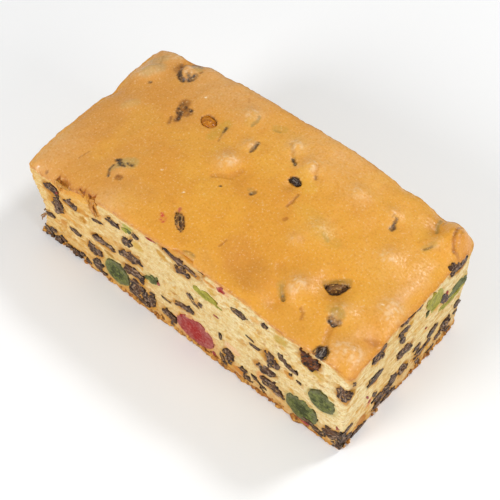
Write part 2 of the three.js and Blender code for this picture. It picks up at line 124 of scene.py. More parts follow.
def grain(points, size, seed=0):
    """Smooth random relief from -1 to 1, with lumps "size" mm across."""
    place = points / np.array(size, float) + seed * 37.7
    cell = np.floor(place).astype(np.int64)
    share = place - cell
    share = share * share * (3 - 2 * share)
    relief = np.zeros(len(points))
    for corner in np.ndindex(2, 2, 2):
        across, along, up = (cell + corner).T
        mixed = (across * 374761393 + along * 668265263 + up * 1442695041) & 0xFFFFFFFF
        mixed = ((mixed ^ (mixed >> 13)) * 1274126177) & 0xFFFFFFFF
        mixed = (mixed ^ (mixed >> 16)) & 0xFFFF
        relief += np.where(corner, share, 1 - share).prod(axis=1) * (mixed / 32767.5 - 1)
    return relief


def raw_points(mesh):
    """A mesh's vertices as they stand."""
    flat = np.empty(len(mesh.vertices) * 3)
    mesh.vertices.foreach_get("co", flat)
    return flat.reshape(-1, 3)


def points_of(mesh):
    """A mesh's vertices in mm, from the block's own middle."""
    return raw_points(mesh) / MILLIMETRE - MIDDLE


def move_points(mesh, points):
    mesh.vertices.foreach_set("co", ((points + MIDDLE) * MILLIMETRE).ravel())
    mesh.update()


def store(mesh, name, values):
    """Keeps one number or colour for each vertex, for a material to read."""
    if values.ndim == 1:
        mesh.attributes.new(name, "FLOAT", "POINT").data.foreach_set("value", values)
    else:
        solid = np.concatenate((values, np.ones((len(values), 4 - values.shape[1]))), axis=1)
        mesh.attributes.new(name, "FLOAT_COLOR", "POINT").data.foreach_set("color", solid.ravel())


def linear(code):
    """A hex colour code as the linear colour that a shader takes."""
    parts = np.array([int(code[i : i + 2], 16) / 255 for i in (1, 3, 5)])
    return np.where(parts <= 0.04045, parts / 12.92, ((parts + 0.055) / 1.055) ** 2.4)


def paint(tint, share, code):
    """Lays a colour over the tint of a surface, by the share of it that the colour covers."""
    share = np.clip(share, 0, 1)[:, None]
    tint[:] = tint * (1 - share) + linear(code) * share


def spread_out(i):
    """Three shares from 0 to 1 for one of a run of things, which spread them with no pattern."""
    return [i * step % 1 for step in (0.7549, 0.5698, 0.3247)]


def add_node(material, kind, values={}, links={}, **settings):
    """Adds a shader node with its settings, its values and the links into it."""
    added = material.node_tree.nodes.new("ShaderNode" + kind)
    for name, value in settings.items():
        setattr(added, name, value)
    for name, value in values.items():
        added.inputs[name].default_value = value
    for name, source in links.items():
        material.node_tree.links.new(source, added.inputs[name])
    return added


def new_material(name):
    material = bpy.data.materials.new(name)
    material.use_nodes = True
    return material


def start_grid(name, columns, rows):
    """A flat grid of cells, with each vertex's column and row."""
    bpy.ops.object.select_all(action="DESELECT")
    bpy.ops.mesh.primitive_grid_add(x_subdivisions=columns, y_subdivisions=rows, size=2)
    piece = bpy.context.object
    piece.name = name
    place = raw_points(piece.data)
    column = np.rint((place[:, 0] + 1) / 2 * columns).astype(int)
    row = np.rint((place[:, 1] + 1) / 2 * rows).astype(int)
    return piece, column, row


def select_only(piece):
    bpy.ops.object.select_all(action="DESELECT")
    piece.select_set(True)
    bpy.context.view_layer.objects.active = piece


def close_shell(piece):
    """Joins the seam, closes the open rims and turns every face outwards."""
    select_only(piece)
    bpy.ops.object.mode_set(mode="EDIT")
    bpy.ops.mesh.select_mode(type="VERT")
    bpy.ops.mesh.select_all(action="SELECT")
    bpy.ops.mesh.remove_doubles(threshold=1e-7)
    bpy.ops.mesh.select_all(action="DESELECT")
    bpy.ops.mesh.select_non_manifold()
    bpy.ops.mesh.fill_holes(sides=0)
    bpy.ops.mesh.select_all(action="SELECT")
    bpy.ops.mesh.normals_make_consistent(inside=False)
    bpy.ops.object.mode_set(mode="OBJECT")
    bpy.ops.object.shade_smooth()


def place_piece(piece, material, slot, *nodes):
    """Gives a finished piece its material and its body, and hides the CAD nodes that it stands for."""
    piece.data.materials.clear()
    piece.data.materials.append(material)
    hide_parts(*nodes)
    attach(piece, "root")


def cut_outline(count):
    """Points at even steps round the block as the knife left it, and the way outwards at each."""
    path = []
    sides = ((1, 1), (-1, 1), (-1, -1), (1, -1))
    for quarter, ((side_x, side_y), radius) in enumerate(zip(sides, CORNERS.values())):
        reach = LENGTH / 2 + (END_OVERHANG if side_x < 0 else 0)
        for turn in (quarter + np.linspace(0, 1, 24)) * pi / 2:
            across = side_x * (reach - radius) + radius * cos(turn)
            path.append((across, side_y * (WIDTH / 2 - radius) + radius * sin(turn)))
    path = np.array(path + path[:1])
    run = np.concatenate(((0,), np.cumsum(np.hypot(*np.diff(path, axis=0).T))))
    steps = np.arange(count) / count * run[-1]
    points = np.stack([np.interp(steps, run, path[:, axis]) for axis in (0, 1)], axis=1)
    ahead = np.roll(points, -1, axis=0) - np.roll(points, 1, axis=0)
    outward = np.stack((ahead[:, 1], -ahead[:, 0]), axis=1)
    return points, outward / np.hypot(*outward.T)[:, None]


def left_end(height):
    """Where the broken left end lies at a height: hollow above its foot, under the skin."""
    reach = np.where(height > 20, 13, 16)
    return 6 * np.exp(-(((height - 20) / reach) ** 2)) - LENGTH / 2 - END_OVERHANG


def surface_of(name):
    """The surface of a CAD fruit, to measure from."""
    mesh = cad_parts[name].data
    return BVHTree.FromPolygons([v.co for v in mesh.vertices], [p.vertices for p in mesh.polygons])


def fruit_inset(points, names, reach=3.0):
    """How far points lie outside the nearest of these fruits, in mm and negative inside it, and
    which fruit that is, or -1 beyond the reach of them all."""
    gap = np.full(len(points), reach)
    owner = np.full(len(points), -1)
    metres = (points + MIDDLE) * MILLIMETRE
    for index, name in enumerate(names):
        shape = surface_of(name)
        low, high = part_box(name)
        margin = reach * MILLIMETRE
        near = ((metres > np.array(low) - margin) & (metres < np.array(high) + margin)).all(axis=1)
        for i in np.flatnonzero(near):
            spot = Vector(metres[i])
            found, facing, _, away = shape.find_nearest(spot)
            away = away / MILLIMETRE
            if (spot - found).dot(facing) < 0:
                away = -away
            if away < gap[i]:
                gap[i] = away
                owner[i] = index
    return gap, owner


WALL_ROWS = 92
# How far in from the wall's top the crumb's last rows lie, under the skin.
SHOULDER = (0.6, 1.4, 2.6, 4.5, 7.0)
OUTLINE_CELLS = 810
# How far behind the cut a fruit is felt for, and a place that is far from them all.
PROBE_DEPTH = 1.0
FAR_OFF = 1e6
# Spots of peel on the cuts that the rule fills.
HIDDEN_SPOTS = 26

cut_fruit = sorted(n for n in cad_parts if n.split("_")[0] in ("front", "right", "back", "left"))
top_fruit = sorted(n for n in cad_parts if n.split("_")[0] == "top")

crumb, column, row = start_grid("crumb", OUTLINE_CELLS, WALL_ROWS + len(SHOULDER))
column = column % OUTLINE_CELLS
outline, outward = cut_outline(OUTLINE_CELLS)
plan = outline[column]
facing = outward[column]
shoulder = np.array((0,) * (WALL_ROWS + 1) + SHOULDER)[row]
plan = plan * np.stack((1 - shoulder / (LENGTH / 2), 1 - shoulder / (WIDTH / 2)), axis=1)
rim = skin_height(plan[:, 0], plan[:, 1], CRUMB_DROP) - SKIN_THICKNESS
rim -= 4 * (shoulder / SHOULDER[-1]) ** 2
climb = np.minimum(row / WALL_ROWS, 1)
height = CRUMB_FOOT + climb * (rim - CRUMB_FOOT)
flat_wall = np.column_stack((plan, height))
on_wall = row <= WALL_ROWS

# The knife's level streaks, the crumb's lumps, and open pores.
streak = grain(flat_wall, (3.4, 6.5, 0.9), 1)
lumps = grain(flat_wall, 1.1, 2)
pores = smooth_step(0.32, 0.75, grain(flat_wall, (1.7, 1.7, 1.1), 3))
relief = 0.12 + 0.14 * streak + 0.1 * lumps + 0.22 * grain(flat_wall, 9.0, 4) - 0.75 * pores
# Torn places, and a rougher edge by the base.
torn = smooth_step(0.25, 0.6, grain(flat_wall, (7, 7, 3.5), 5))
relief += torn * 0.45 * grain(flat_wall, 1.6, 6)
low = np.exp(-height / 2.5)
relief += low * (0.1 + 0.9 * grain(flat_wall, 2.2, 7))
relief -= 0.7 * low * smooth_step(80, 84, plan[:, 0]) * smooth_step(-5, -15, plan[:, 1])

# Behind a fruit the crumb gives way. Crumbs cling to its rim, and a dark gap is left here and there.
probe = flat_wall - PROBE_DEPTH * np.column_stack((facing, np.zeros(len(facing))))
probe[~on_wall] = FAR_OFF
deep, owner = fruit_inset(probe, cut_fruit)
cling = grain(flat_wall, 1.5, 15)
hidden = smooth_step(0.1, -0.7, deep + 0.5 * cling)
relief = relief * (1 - hidden) - 1.3 * hidden
relief += 0.45 * smooth_step(0.1, 0.5, cling) * smooth_step(-1.3, -0.4, deep) * smooth_step(0.9, 0.1, deep)
cracked = smooth_step(-0.05, 0.35, grain(flat_wall, 3.5, 8))
relief -= 0.9 * cracked * smooth_step(1.0, 0.2, deep) * (1 - hidden)
# The corner at the back right swells a little, under the skin's largest bulge.
lean = CORNER_BULGE * 2 * np.clip(facing[:, 0], 0, 1) * np.clip(facing[:, 1], 0, 1)
wall = flat_wall.copy()
wall[:, :2] += facing * ((relief + lean) * on_wall)[:, None]

# The broken left end: everything near it is drawn to its hollow, and its front foot has chipped off.
near_end = np.clip((BROKEN_FROM - wall[:, 0]) / (LENGTH / 2 + END_OVERHANG + BROKEN_FROM), 0, 1)
hollow = left_end(height) + LENGTH / 2 + END_OVERHANG
ragged = 0.9 * (0.4 + 0.5 * grain(flat_wall, 9, 9)) + 0.9 * grain(flat_wall, 3.2, 10)
ragged += 0.8 * smooth_step(-5, 10, plan[:, 1]) * smooth_step(38, 48, height)
wall[:, 0] += near_end**1.5 * (hollow * on_wall + ragged * np.clip(-facing[:, 0], 0, 1))
chipped = smooth_step(-55, -62, plan[:, 0]) * smooth_step(-30, -40, plan[:, 1]) * np.exp(-height / 3)
wall[:, 1] += 1.3 * chipped
wall[:, 0] += 2.5 * chipped * smooth_step(-72, -82, plan[:, 0])
move_points(crumb.data, wall)

# How the crumb's colour drifts: browner by the base, stained round fruit, amber flecks of peel.
tint = np.tile(linear("#e2cc95"), (len(wall), 1))
spread = grain(flat_wall, 2.4, 11)
# Golden at the left of the front, pale at its right, and in places a deeper cream.
paint(tint, 0.45 * smooth_step(0, -60, plan[:, 0]) * smooth_step(-30, -38, plan[:, 1]), "#dcb060")
paint(tint, 0.5 * smooth_step(50, 84, plan[:, 0]) * smooth_step(-20, -40, plan[:, 1]), "#efe0b0")
paint(tint, 0.35 * smooth_step(0.0, 0.6, grain(flat_wall, (9, 9, 5), 16)), "#dcb466")
# The empty name at the end stands for crumb that is near no fruit.
names = np.array(cut_fruit + [""])
halo = smooth_step(2.8, 0.1, deep + 0.9 * spread)
# Duller along the middle of the block, and browner in short streaks towards its left end.
paint(tint, 0.3 * smooth_step(-60, -35, plan[:, 0]) * smooth_step(30, 5, plan[:, 0]), "#d2ba82")
browner = smooth_step(0.0, 0.5, grain(flat_wall, (6, 6, 1.5), 18)) * smooth_step(10, -45, plan[:, 0])
paint(tint, 0.6 * browner * smooth_step(50, 30, height), "#cd9036")
# The stains round the fruit, and the browned foot.
for kind, code, amount in (("raisin", "#b0721f", 0.9), ("red", "#d88a5c", 0.6), ("green", "#a39a4c", 0.5)):
    beside = np.char.find(names[owner], kind) >= 0
    paint(tint, beside * halo * amount, code)
paint(tint, 1.0 * np.exp(-height / 3.2) * (0.9 + 0.7 * spread), "#b26a18")
paint(tint, 0.55 * np.exp(-height / 9) * (0.7 + 1.1 * grain(flat_wall, (5, 5, 3), 12)), "#cf8a26")
# Under the skin the crumb is golden, in a band that is thickest on the right cut, and all the way
# down to the first raisins where the skin has torn off.
below_skin = rim - height
band = 1.0 + 1.4 * smooth_step(84, 85, plan[:, 0])
band += 1.3 * smooth_step(-20, -38, plan[:, 1]) * smooth_step(70, 84, plan[:, 0])
paint(tint, 0.75 * smooth_step(1.0, 0.25, below_skin / band + 0.35 * spread), "#d8922a")
under_tear = smooth_step(-70, -66, plan[:, 0]) * smooth_step(-42, -50, plan[:, 0])
under_tear *= smooth_step(-38, -40, plan[:, 1]) * smooth_step(9, 5, below_skin + 2 * spread)
paint(tint, 0.6 * under_tear, "#dba044")
# The open pores are painted amber, partly the crumb's colour and partly painted shade in their hollows.
paint(tint, 0.4 * pores, "#b97c24")
flecks = smooth_step(0.42, 0.56, grain(flat_wall, (2.6, 2.6, 1.5), 13))
flecks *= smooth_step(-0.2, 0.2, grain(flat_wall, 14, 14))
# Long golden streaks, where the knife drew syrup from the fruit along the cut.
drawn = smooth_step(0.3, 0.6, grain(flat_wall, (11, 11, 1.1), 19))
paint(tint, drawn * (0.25 + 0.3 * smooth_step(84, 85, plan[:, 0])), "#cb9640")
paint(tint, 0.7 * flecks, "#d0982e")
# Holes at the left, and brown crumbs at the right.
left_holes = smooth_step(0.3, 0.5, grain(flat_wall, (3, 3, 2), 19.5)) * smooth_step(-40, -60, plan[:, 0])
paint(tint, 0.6 * left_holes, "#c4862a")
crumby = smooth_step(0.54, 0.66, grain(flat_wall, (1.5, 1.5, 1.0), 17)) * smooth_step(20, 50, plan[:, 0])
paint(tint, 0.65 * crumby, "#b0701c")
# The stale dark rind of the broken left end, by its foot.
paint(tint, 0.6 * smooth_step(-70, -84, plan[:, 0]) * np.exp(-height / 9) * (0.8 + spread), "#a8702c")

# Peel and amber fruit in the cuts: face, place, width, height, turn and colour.
PEEL = (
    ("front", 57.5, 28, 4, 3.2, -10, "#c47d14"), ("front", 53, 48, 5.5, 4.5, 30, "#b9993a"),
    ("front", -54.5, 38, 5.5, 3.4, 0, "#c4821e"), ("front", -55, 33, 4, 3.2, 10, "#b57a16"),
    ("front", -46, 48, 4, 6, 40, "#c9842a"), ("front", -8.5, 48.5, 6, 2.8, -20, "#c08a24"),
    ("front", -66, 45, 12, 5, 4, "#dc9a3e"), ("front", -69, 20, 3.5, 2.5, 0, "#c4822e"),
    ("front", -41, 21, 5, 2, -10, "#a37427"), ("front", -27, 50.3, 5, 2, 5, "#a3a546"),
    ("front", 17, 51.5, 6, 1.8, -8, "#cc8220"), ("front", 34, 27, 5, 3, 0, "#cda05a"),
    ("front", 20, 31, 3, 5, 20, "#cfae6b"), ("front", 43, 12, 3, 6, 0, "#dc9c60"),
    ("front", 29, 17, 7, 4, 0, "#e6bb92"), ("front", -3, 27, 4, 1.5, 10, "#b98236"),
    ("front", 68, 42.5, 9, 2.4, -8, "#c99e38"), ("front", 78, 33, 3, 2, 0, "#c0922f"),
    ("front", -57, 47, 8, 3, 5, "#e3a94c"), ("front", -44, 44, 2.5, 3, 0, "#d69a45"),
    ("front", -22, 42, 5, 4, 0, "#c9a043"), ("front", -66, 26, 9, 3, 0, "#dca04c"),
    ("front", 18, 47, 3, 3, 30, "#c99e3a"), ("front", 27, 23.5, 3, 1.6, 20, "#c08a2c"),
    ("front", 40, 49, 4, 3, 20, "#dda85c"), ("front", 5, 57, 6, 1.6, 0, "#d98f24"),
    ("front", 33, 4.6, 8, 3.5, 0, "#c47a2c"), ("front", 52, 52, 3, 2, 0, "#d69a4a"),
    ("right", -37, 40, 3.5, 5, 30, "#ba8420"), ("right", -3, 45, 7, 4, 30, "#c08c22"),
    ("right", 22, 25, 5, 2, 20, "#d2a458"), ("right", -22, 30, 4, 3, 0, "#b8681a"),
    ("right", 5, 36, 5, 2, 30, "#d8ae62"), ("right", -31, 20, 4, 2, 30, "#cf9c4c"),
    ("right", -28, 7, 6, 6, 20, "#b06a24"), ("right", -24, 16, 3, 5, -20, "#d0854c"),
    ("right", -30, 40, 3, 1.6, 0, "#cf9d45"), ("right", 12, 26, 5, 1.8, 0, "#dcb062"),
)
along_face = {"front": 0, "back": 0, "right": 1, "left": 1}
faces_to = {"front": (0, -1), "back": (0, 1), "right": (1, 0), "left": (-1, 0)}


def from_spot(points, face, at, rise, half_wide, half_tall, turn):
    """How far points lie from the middle of an oval spot on a cut. It is 1 at the spot's rim."""
    away = points[:, along_face[face]] - at
    up = points[:, 2] - rise
    swing = radians(turn)
    aside = (away * cos(swing) + up * sin(swing)) / half_wide
    above = (up * cos(swing) - away * sin(swing)) / half_tall
    return np.hypot(aside, above)


def spot_share(face, at, rise, wide, tall, turn):
    """How much of a spot on a cut each wall point has, with a ragged rim."""
    facing_it = facing @ np.array(faces_to[face]) > 0.6
    away = from_spot(flat_wall, face, at, rise, wide / 2, tall / 2, turn)
    return facing_it * smooth_step(1.25, 0.8, away + 0.35 * spread)


for face, at, rise, wide, tall, turn, code in PEEL:
    paint(tint, 0.85 * spot_share(face, at, rise, 1.2 * wide, 1.2 * tall, turn), code)
# The rule puts twice as many on the back as at the left end.
for i in range(HIDDEN_SPOTS):
    step = spread_out(i)
    face, span = (("back", 150), ("left", 66))[i % 3 // 2]
    across, rise = (step[0] - 0.5) * span, 6 + 42 * step[1]
    spot = spot_share(face, across, rise, 3 + 3 * step[2], 2.4, 40 * step[2] - 20)
    paint(tint, 0.8 * spot, ("#c4822a", "#b9993a", "#cf9a52")[i % 3])
store(crumb.data, "tint", tint)
close_shell(crumb)

# Sponge cake: matt and a little translucent, so light goes some way into it and it has no shine.
sponge = new_material("baked_sponge_crumb")
shader = sponge.node_tree.nodes["Principled BSDF"]
shader.inputs["Roughness"].default_value = 0.85
shader.inputs["IOR"].default_value = 1.4
shader.inputs["Subsurface Weight"].default_value = 0.15
shader.inputs["Subsurface Radius"].default_value = (1.0, 0.6, 0.3)
shader.inputs["Subsurface Scale"].default_value = MILLIMETRE
coords = add_node(sponge, "TexCoord")
at_place = {"Vector": coords.outputs["Object"]}
painted = add_node(sponge, "Attribute", attribute_name="tint")
# Cells of the crumb, about 0.8 mm, and the knife's level streaks, about 1 mm tall, which are 3 mm
# long on the front and 5 mm long at the ends.
cells = add_node(sponge, "TexNoise", {"Scale": 1 / 0.0008, "Detail": 2}, at_place)
level = add_node(sponge, "Mapping", {"Scale": (1, 0.6, 2.6)}, at_place)
streaks = add_node(
    sponge, "TexNoise", {"Scale": 1 / 0.003, "Detail": 5, "Roughness": 0.68}, {"Vector": level.outputs[0]}
)
# The dark cells and dark streaks are partly the crumb's own colour and partly painted shade in its hollows;
# the pale streaks are partly its colour and partly a painted highlight on its ridges.
cell_share = add_node(
    sponge, "MapRange", {"From Min": 0.34, "From Max": 0.52, "To Min": 0.5, "To Max": 0.0},
    {"Value": cells.outputs["Fac"]},
)
dark_share = add_node(
    sponge, "MapRange", {"From Min": 0.54, "From Max": 0.66, "To Max": 0.45},
    {"Value": streaks.outputs["Fac"]},
)
pale_share = add_node(
    sponge, "MapRange", {"From Min": 0.47, "From Max": 0.36, "To Max": 0.5}, {"Value": streaks.outputs["Fac"]}
)
shaded = add_node(
    sponge, "Mix", {7: (*linear("#cc9232"), 1)},
    {0: cell_share.outputs[0], 6: painted.outputs["Color"]}, data_type="RGBA",
)
streaked = add_node(
    sponge, "Mix", {7: (*linear("#d09a30"), 1)},
    {0: dark_share.outputs[0], 6: shaded.outputs[2]}, data_type="RGBA",
)
lit = add_node(
    sponge, "Mix", {7: (*linear("#f1e5c0"), 1)},
    {0: pale_share.outputs[0], 6: streaked.outputs[2]}, data_type="RGBA",
)
# The pale streaks stay off the fruit stains and the browned foot, where the tint itself is dark.
keep = add_node(sponge, "RGBToBW", {}, {"Color": painted.outputs["Color"]})
clear = add_node(sponge, "MapRange", {"From Min": 0.3, "From Max": 0.6}, {"Value": keep.outputs[0]})
mottled = add_node(
    sponge, "Mix", {}, {0: clear.outputs[0], 6: shaded.outputs[2], 7: lit.outputs[2]}, data_type="RGBA"
)
coarse = add_node(sponge, "Bump", {"Strength": 0.5, "Distance": 0.0006}, {"Height": streaks.outputs["Fac"]})
bump = add_node(
    sponge, "Bump", {"Strength": 0.5, "Distance": 0.0004},
    {"Height": cells.outputs["Fac"], "Normal": coarse.outputs[0]},
)
sponge.node_tree.links.new(mottled.outputs[2], shader.inputs["Base Color"])
sponge.node_tree.links.new(bump.outputs[0], shader.inputs["Normal"])
place_piece(crumb, sponge, "cake", "cake")

# ---- Base crust --------------------------------------------------------------------------------
# The bottom of the slab, browned on its tin: a thin dry crust that spreads a little past the cuts
# and sheds crumbs at its edge. It lies flat on whatever the slice stands on.

CRUST_COLUMNS = 310
CRUST_ROWS = 150
CRUST_SPREAD = 0.45
CRUST_REACH = 43.2
# Lumps of crust along the front edge, and the chipped stretch near its left end: x, out, reach.
EDGE_LUMPS = (
    (-12, 0.4, 6), (2, 0.4, 4), (18, 0.8, 3), (25, 0.6, 3), (36, 0.6, 4), (44.5, 1.3, 2.2),
    (53.5, 1.0, 1.8), (63, 1.0, 4), (71, 0.5, 3), (-58, -0.9, 3), (-66, -1.5, 5), (-75, -1.9, 6),
    (-84, -2.2, 6), (-48, -0.5, 3), (-38, -0.4, 3),
)


def spread_over_plan(column, row, columns, rows, grow, corners):
    """Places of a grid's vertices over the block's outline, moved out by "grow"."""
    v = 2 * row / rows - 1
    y = v * (WIDTH / 2 + grow)
    ends = []
    for side, (front, back) in ((1, ("front_right", "back_right")), (-1, ("front_left", "back_left"))):
        radius = np.where(y > 0, corners[back], corners[front]) + grow
        over = np.clip(abs(y) - (WIDTH / 2 + grow - radius), 0, radius)
        reach = LENGTH / 2 + grow + (END_OVERHANG if side < 0 else 0)
        ends.append(side * (reach - radius + np.sqrt(radius**2 - over**2)))
    share = column / columns
    return ends[1] + (ends[0] - ends[1]) * share, y


def shape_rim(piece, steps):
    """Draws a sheet's open rim out into walls, by each step's lift in mm and its share of the
    size, and closes them into a shell."""
    select_only(piece)
    bpy.ops.object.mode_set(mode="EDIT")
    bpy.ops.mesh.select_all(action="DESELECT")
    bpy.ops.mesh.select_mode(type="EDGE")
    bpy.ops.mesh.select_non_manifold()
    for lift, draw in steps:
        bpy.ops.mesh.extrude_region_move(TRANSFORM_OT_translate={"value": (0, 0, lift * MILLIMETRE)})
        bpy.ops.transform.resize(value=(draw, draw, 1), center_override=(0, 0, 0))
    bpy.ops.object.mode_set(mode="OBJECT")
    close_shell(piece)


crust, column, row = start_grid("base_crust", CRUST_COLUMNS, CRUST_ROWS)
across, along = spread_over_plan(column, row, CRUST_COLUMNS, CRUST_ROWS, CRUST_SPREAD, CORNERS)
under = np.column_stack((across, along, np.zeros(len(across))))
# The edge is ragged, most of all at the left end and along the front.
to_rim = np.minimum(np.minimum(column, CRUST_COLUMNS - column), np.minimum(row, CRUST_ROWS - row))
by_rim = np.clip(1 - to_rim / 5, 0, 1)
outwards = under[:, :2] / (LENGTH / 2, WIDTH / 2)
rough = 0.5 * grain(under, 1.3, 20) + 0.35 * grain(under, 2.4, 21) + 0.35 * grain(under, 6, 22)
under[:, :2] += np.sign(outwards) * (by_rim * rough)[:, None] * (abs(outwards) > 0.9)
front_share = np.clip(1 - row / 10, 0, 1)
for lump_x, out, reach in EDGE_LUMPS:
    under[:, 1] -= out * front_share * np.exp(-(((across - lump_x) / reach) ** 2))
left_share = np.clip(1 - column / 16, 0, 1) * smooth_step(-20, -38, along)
under[:, 0] += 4.0 * left_share
right_share = np.clip(1 - (CRUST_COLUMNS - column) / 11, 0, 1)
under[:, 0] -= right_share * (1.1 * smooth_step(0, -12, along) - 0.2 * smooth_step(5, 20, along))
under[:, 1] = np.maximum(under[:, 1], -CRUST_REACH)
under[:, 2] = np.maximum(0, 0.1 + 0.1 * grain(under, 3, 23) + by_rim * 0.15)
move_points(crust.data, under)
shape_rim(crust, ((0.45, 1.003), (0.5, 0.997), (0.5, 0.985)))
# Above its foot the edge is rough too.
edge = points_of(crust.data)
sideways = np.column_stack((grain(edge, 1.0, 24), grain(edge, 1.0, 25)))
edge[:, :2] += (edge[:, 2] > 0.4)[:, None] * 0.4 * sideways
edge[:, 2] += (edge[:, 2] > 0.4) * 0.45 * grain(edge, (1.5, 1.5, 9), 26)
move_points(crust.data, edge)

# Baked crust: dry and matt, mottled from tan to dark brown where it met the tin, in patches of 4 mm
# with specks of 1.8 mm.
crusty = new_material("browned_cake_base")
shader = crusty.node_tree.nodes["Principled BSDF"]
shader.inputs["Roughness"].default_value = 0.75
coords = add_node(crusty, "TexCoord")
at_place = {"Vector": coords.outputs["Object"]}
mottle = add_node(crusty, "TexNoise", {"Scale": 1 / 0.004, "Detail": 5, "Roughness": 0.7}, at_place)
share = add_node(crusty, "MapRange", {"From Min": 0.38, "From Max": 0.6}, {"Value": mottle.outputs["Fac"]})
browned = add_node(
    crusty, "Mix", {6: (*linear("#a8641c"), 1), 7: (*linear("#dba24a"), 1)},
    {0: share.outputs[0]}, data_type="RGBA",
)
specks = add_node(crusty, "TexNoise", {"Scale": 1 / 0.0018, "Detail": 3, "Roughness": 0.65}, at_place)
dark_share = add_node(
    crusty, "MapRange", {"From Min": 0.5, "From Max": 0.62, "To Max": 0.85}, {"Value": specks.outputs["Fac"]}
)
speckled = add_node(
    crusty, "Mix", {7: (*linear("#65350f"), 1)},
    {0: dark_share.outputs[0], 6: browned.outputs[2]}, data_type="RGBA",
)
bump = add_node(crusty, "Bump", {"Strength": 0.6, "Distance": 0.0006}, {"Height": specks.outputs["Fac"]})
crusty.node_tree.links.new(speckled.outputs[2], shader.inputs["Base Color"])
crusty.node_tree.links.new(bump.outputs[0], shader.inputs["Normal"])
place_piece(crust, crusty, "cake", "cake")

# ---- Skin --------------------------------------------------------------------------------------
# The baked top of the slab, a thin smooth golden skin with a low sheen. It is drawn tight over the
# fruit below it, wrinkles and splits beside it, and has torn back along the front near the left.

SKIN_COLUMNS = 342
SKIN_ROWS = 164
SKIN_OVERHANG = 0.3
# How far above the skin the search for the fruit under it starts.
LOOK_FROM = 20
SKIN_CORNERS = dict(CORNERS, front_right=3.0)
# The skin's gap round a fruit that breaks it, where it isn't dark and 1 mm deep: the colour painted in it as
# painted shade, and its depth.
GAPS = {"top_raisin_3": ("#b87c34", 0.4), "top_raisin_4": ("#7a4a14", 1.0)}
SHADED_GAP = ("#5a3412", 1.0)
# The raisin that the skin caps, and the one whose far half a film of skin still covers.
CAPPED = "top_raisin_6"
FILMED = "top_raisin_1"
# Bumps with a shorter reach than this get a painted highlight.
HIGHLIGHT_REACH = 9

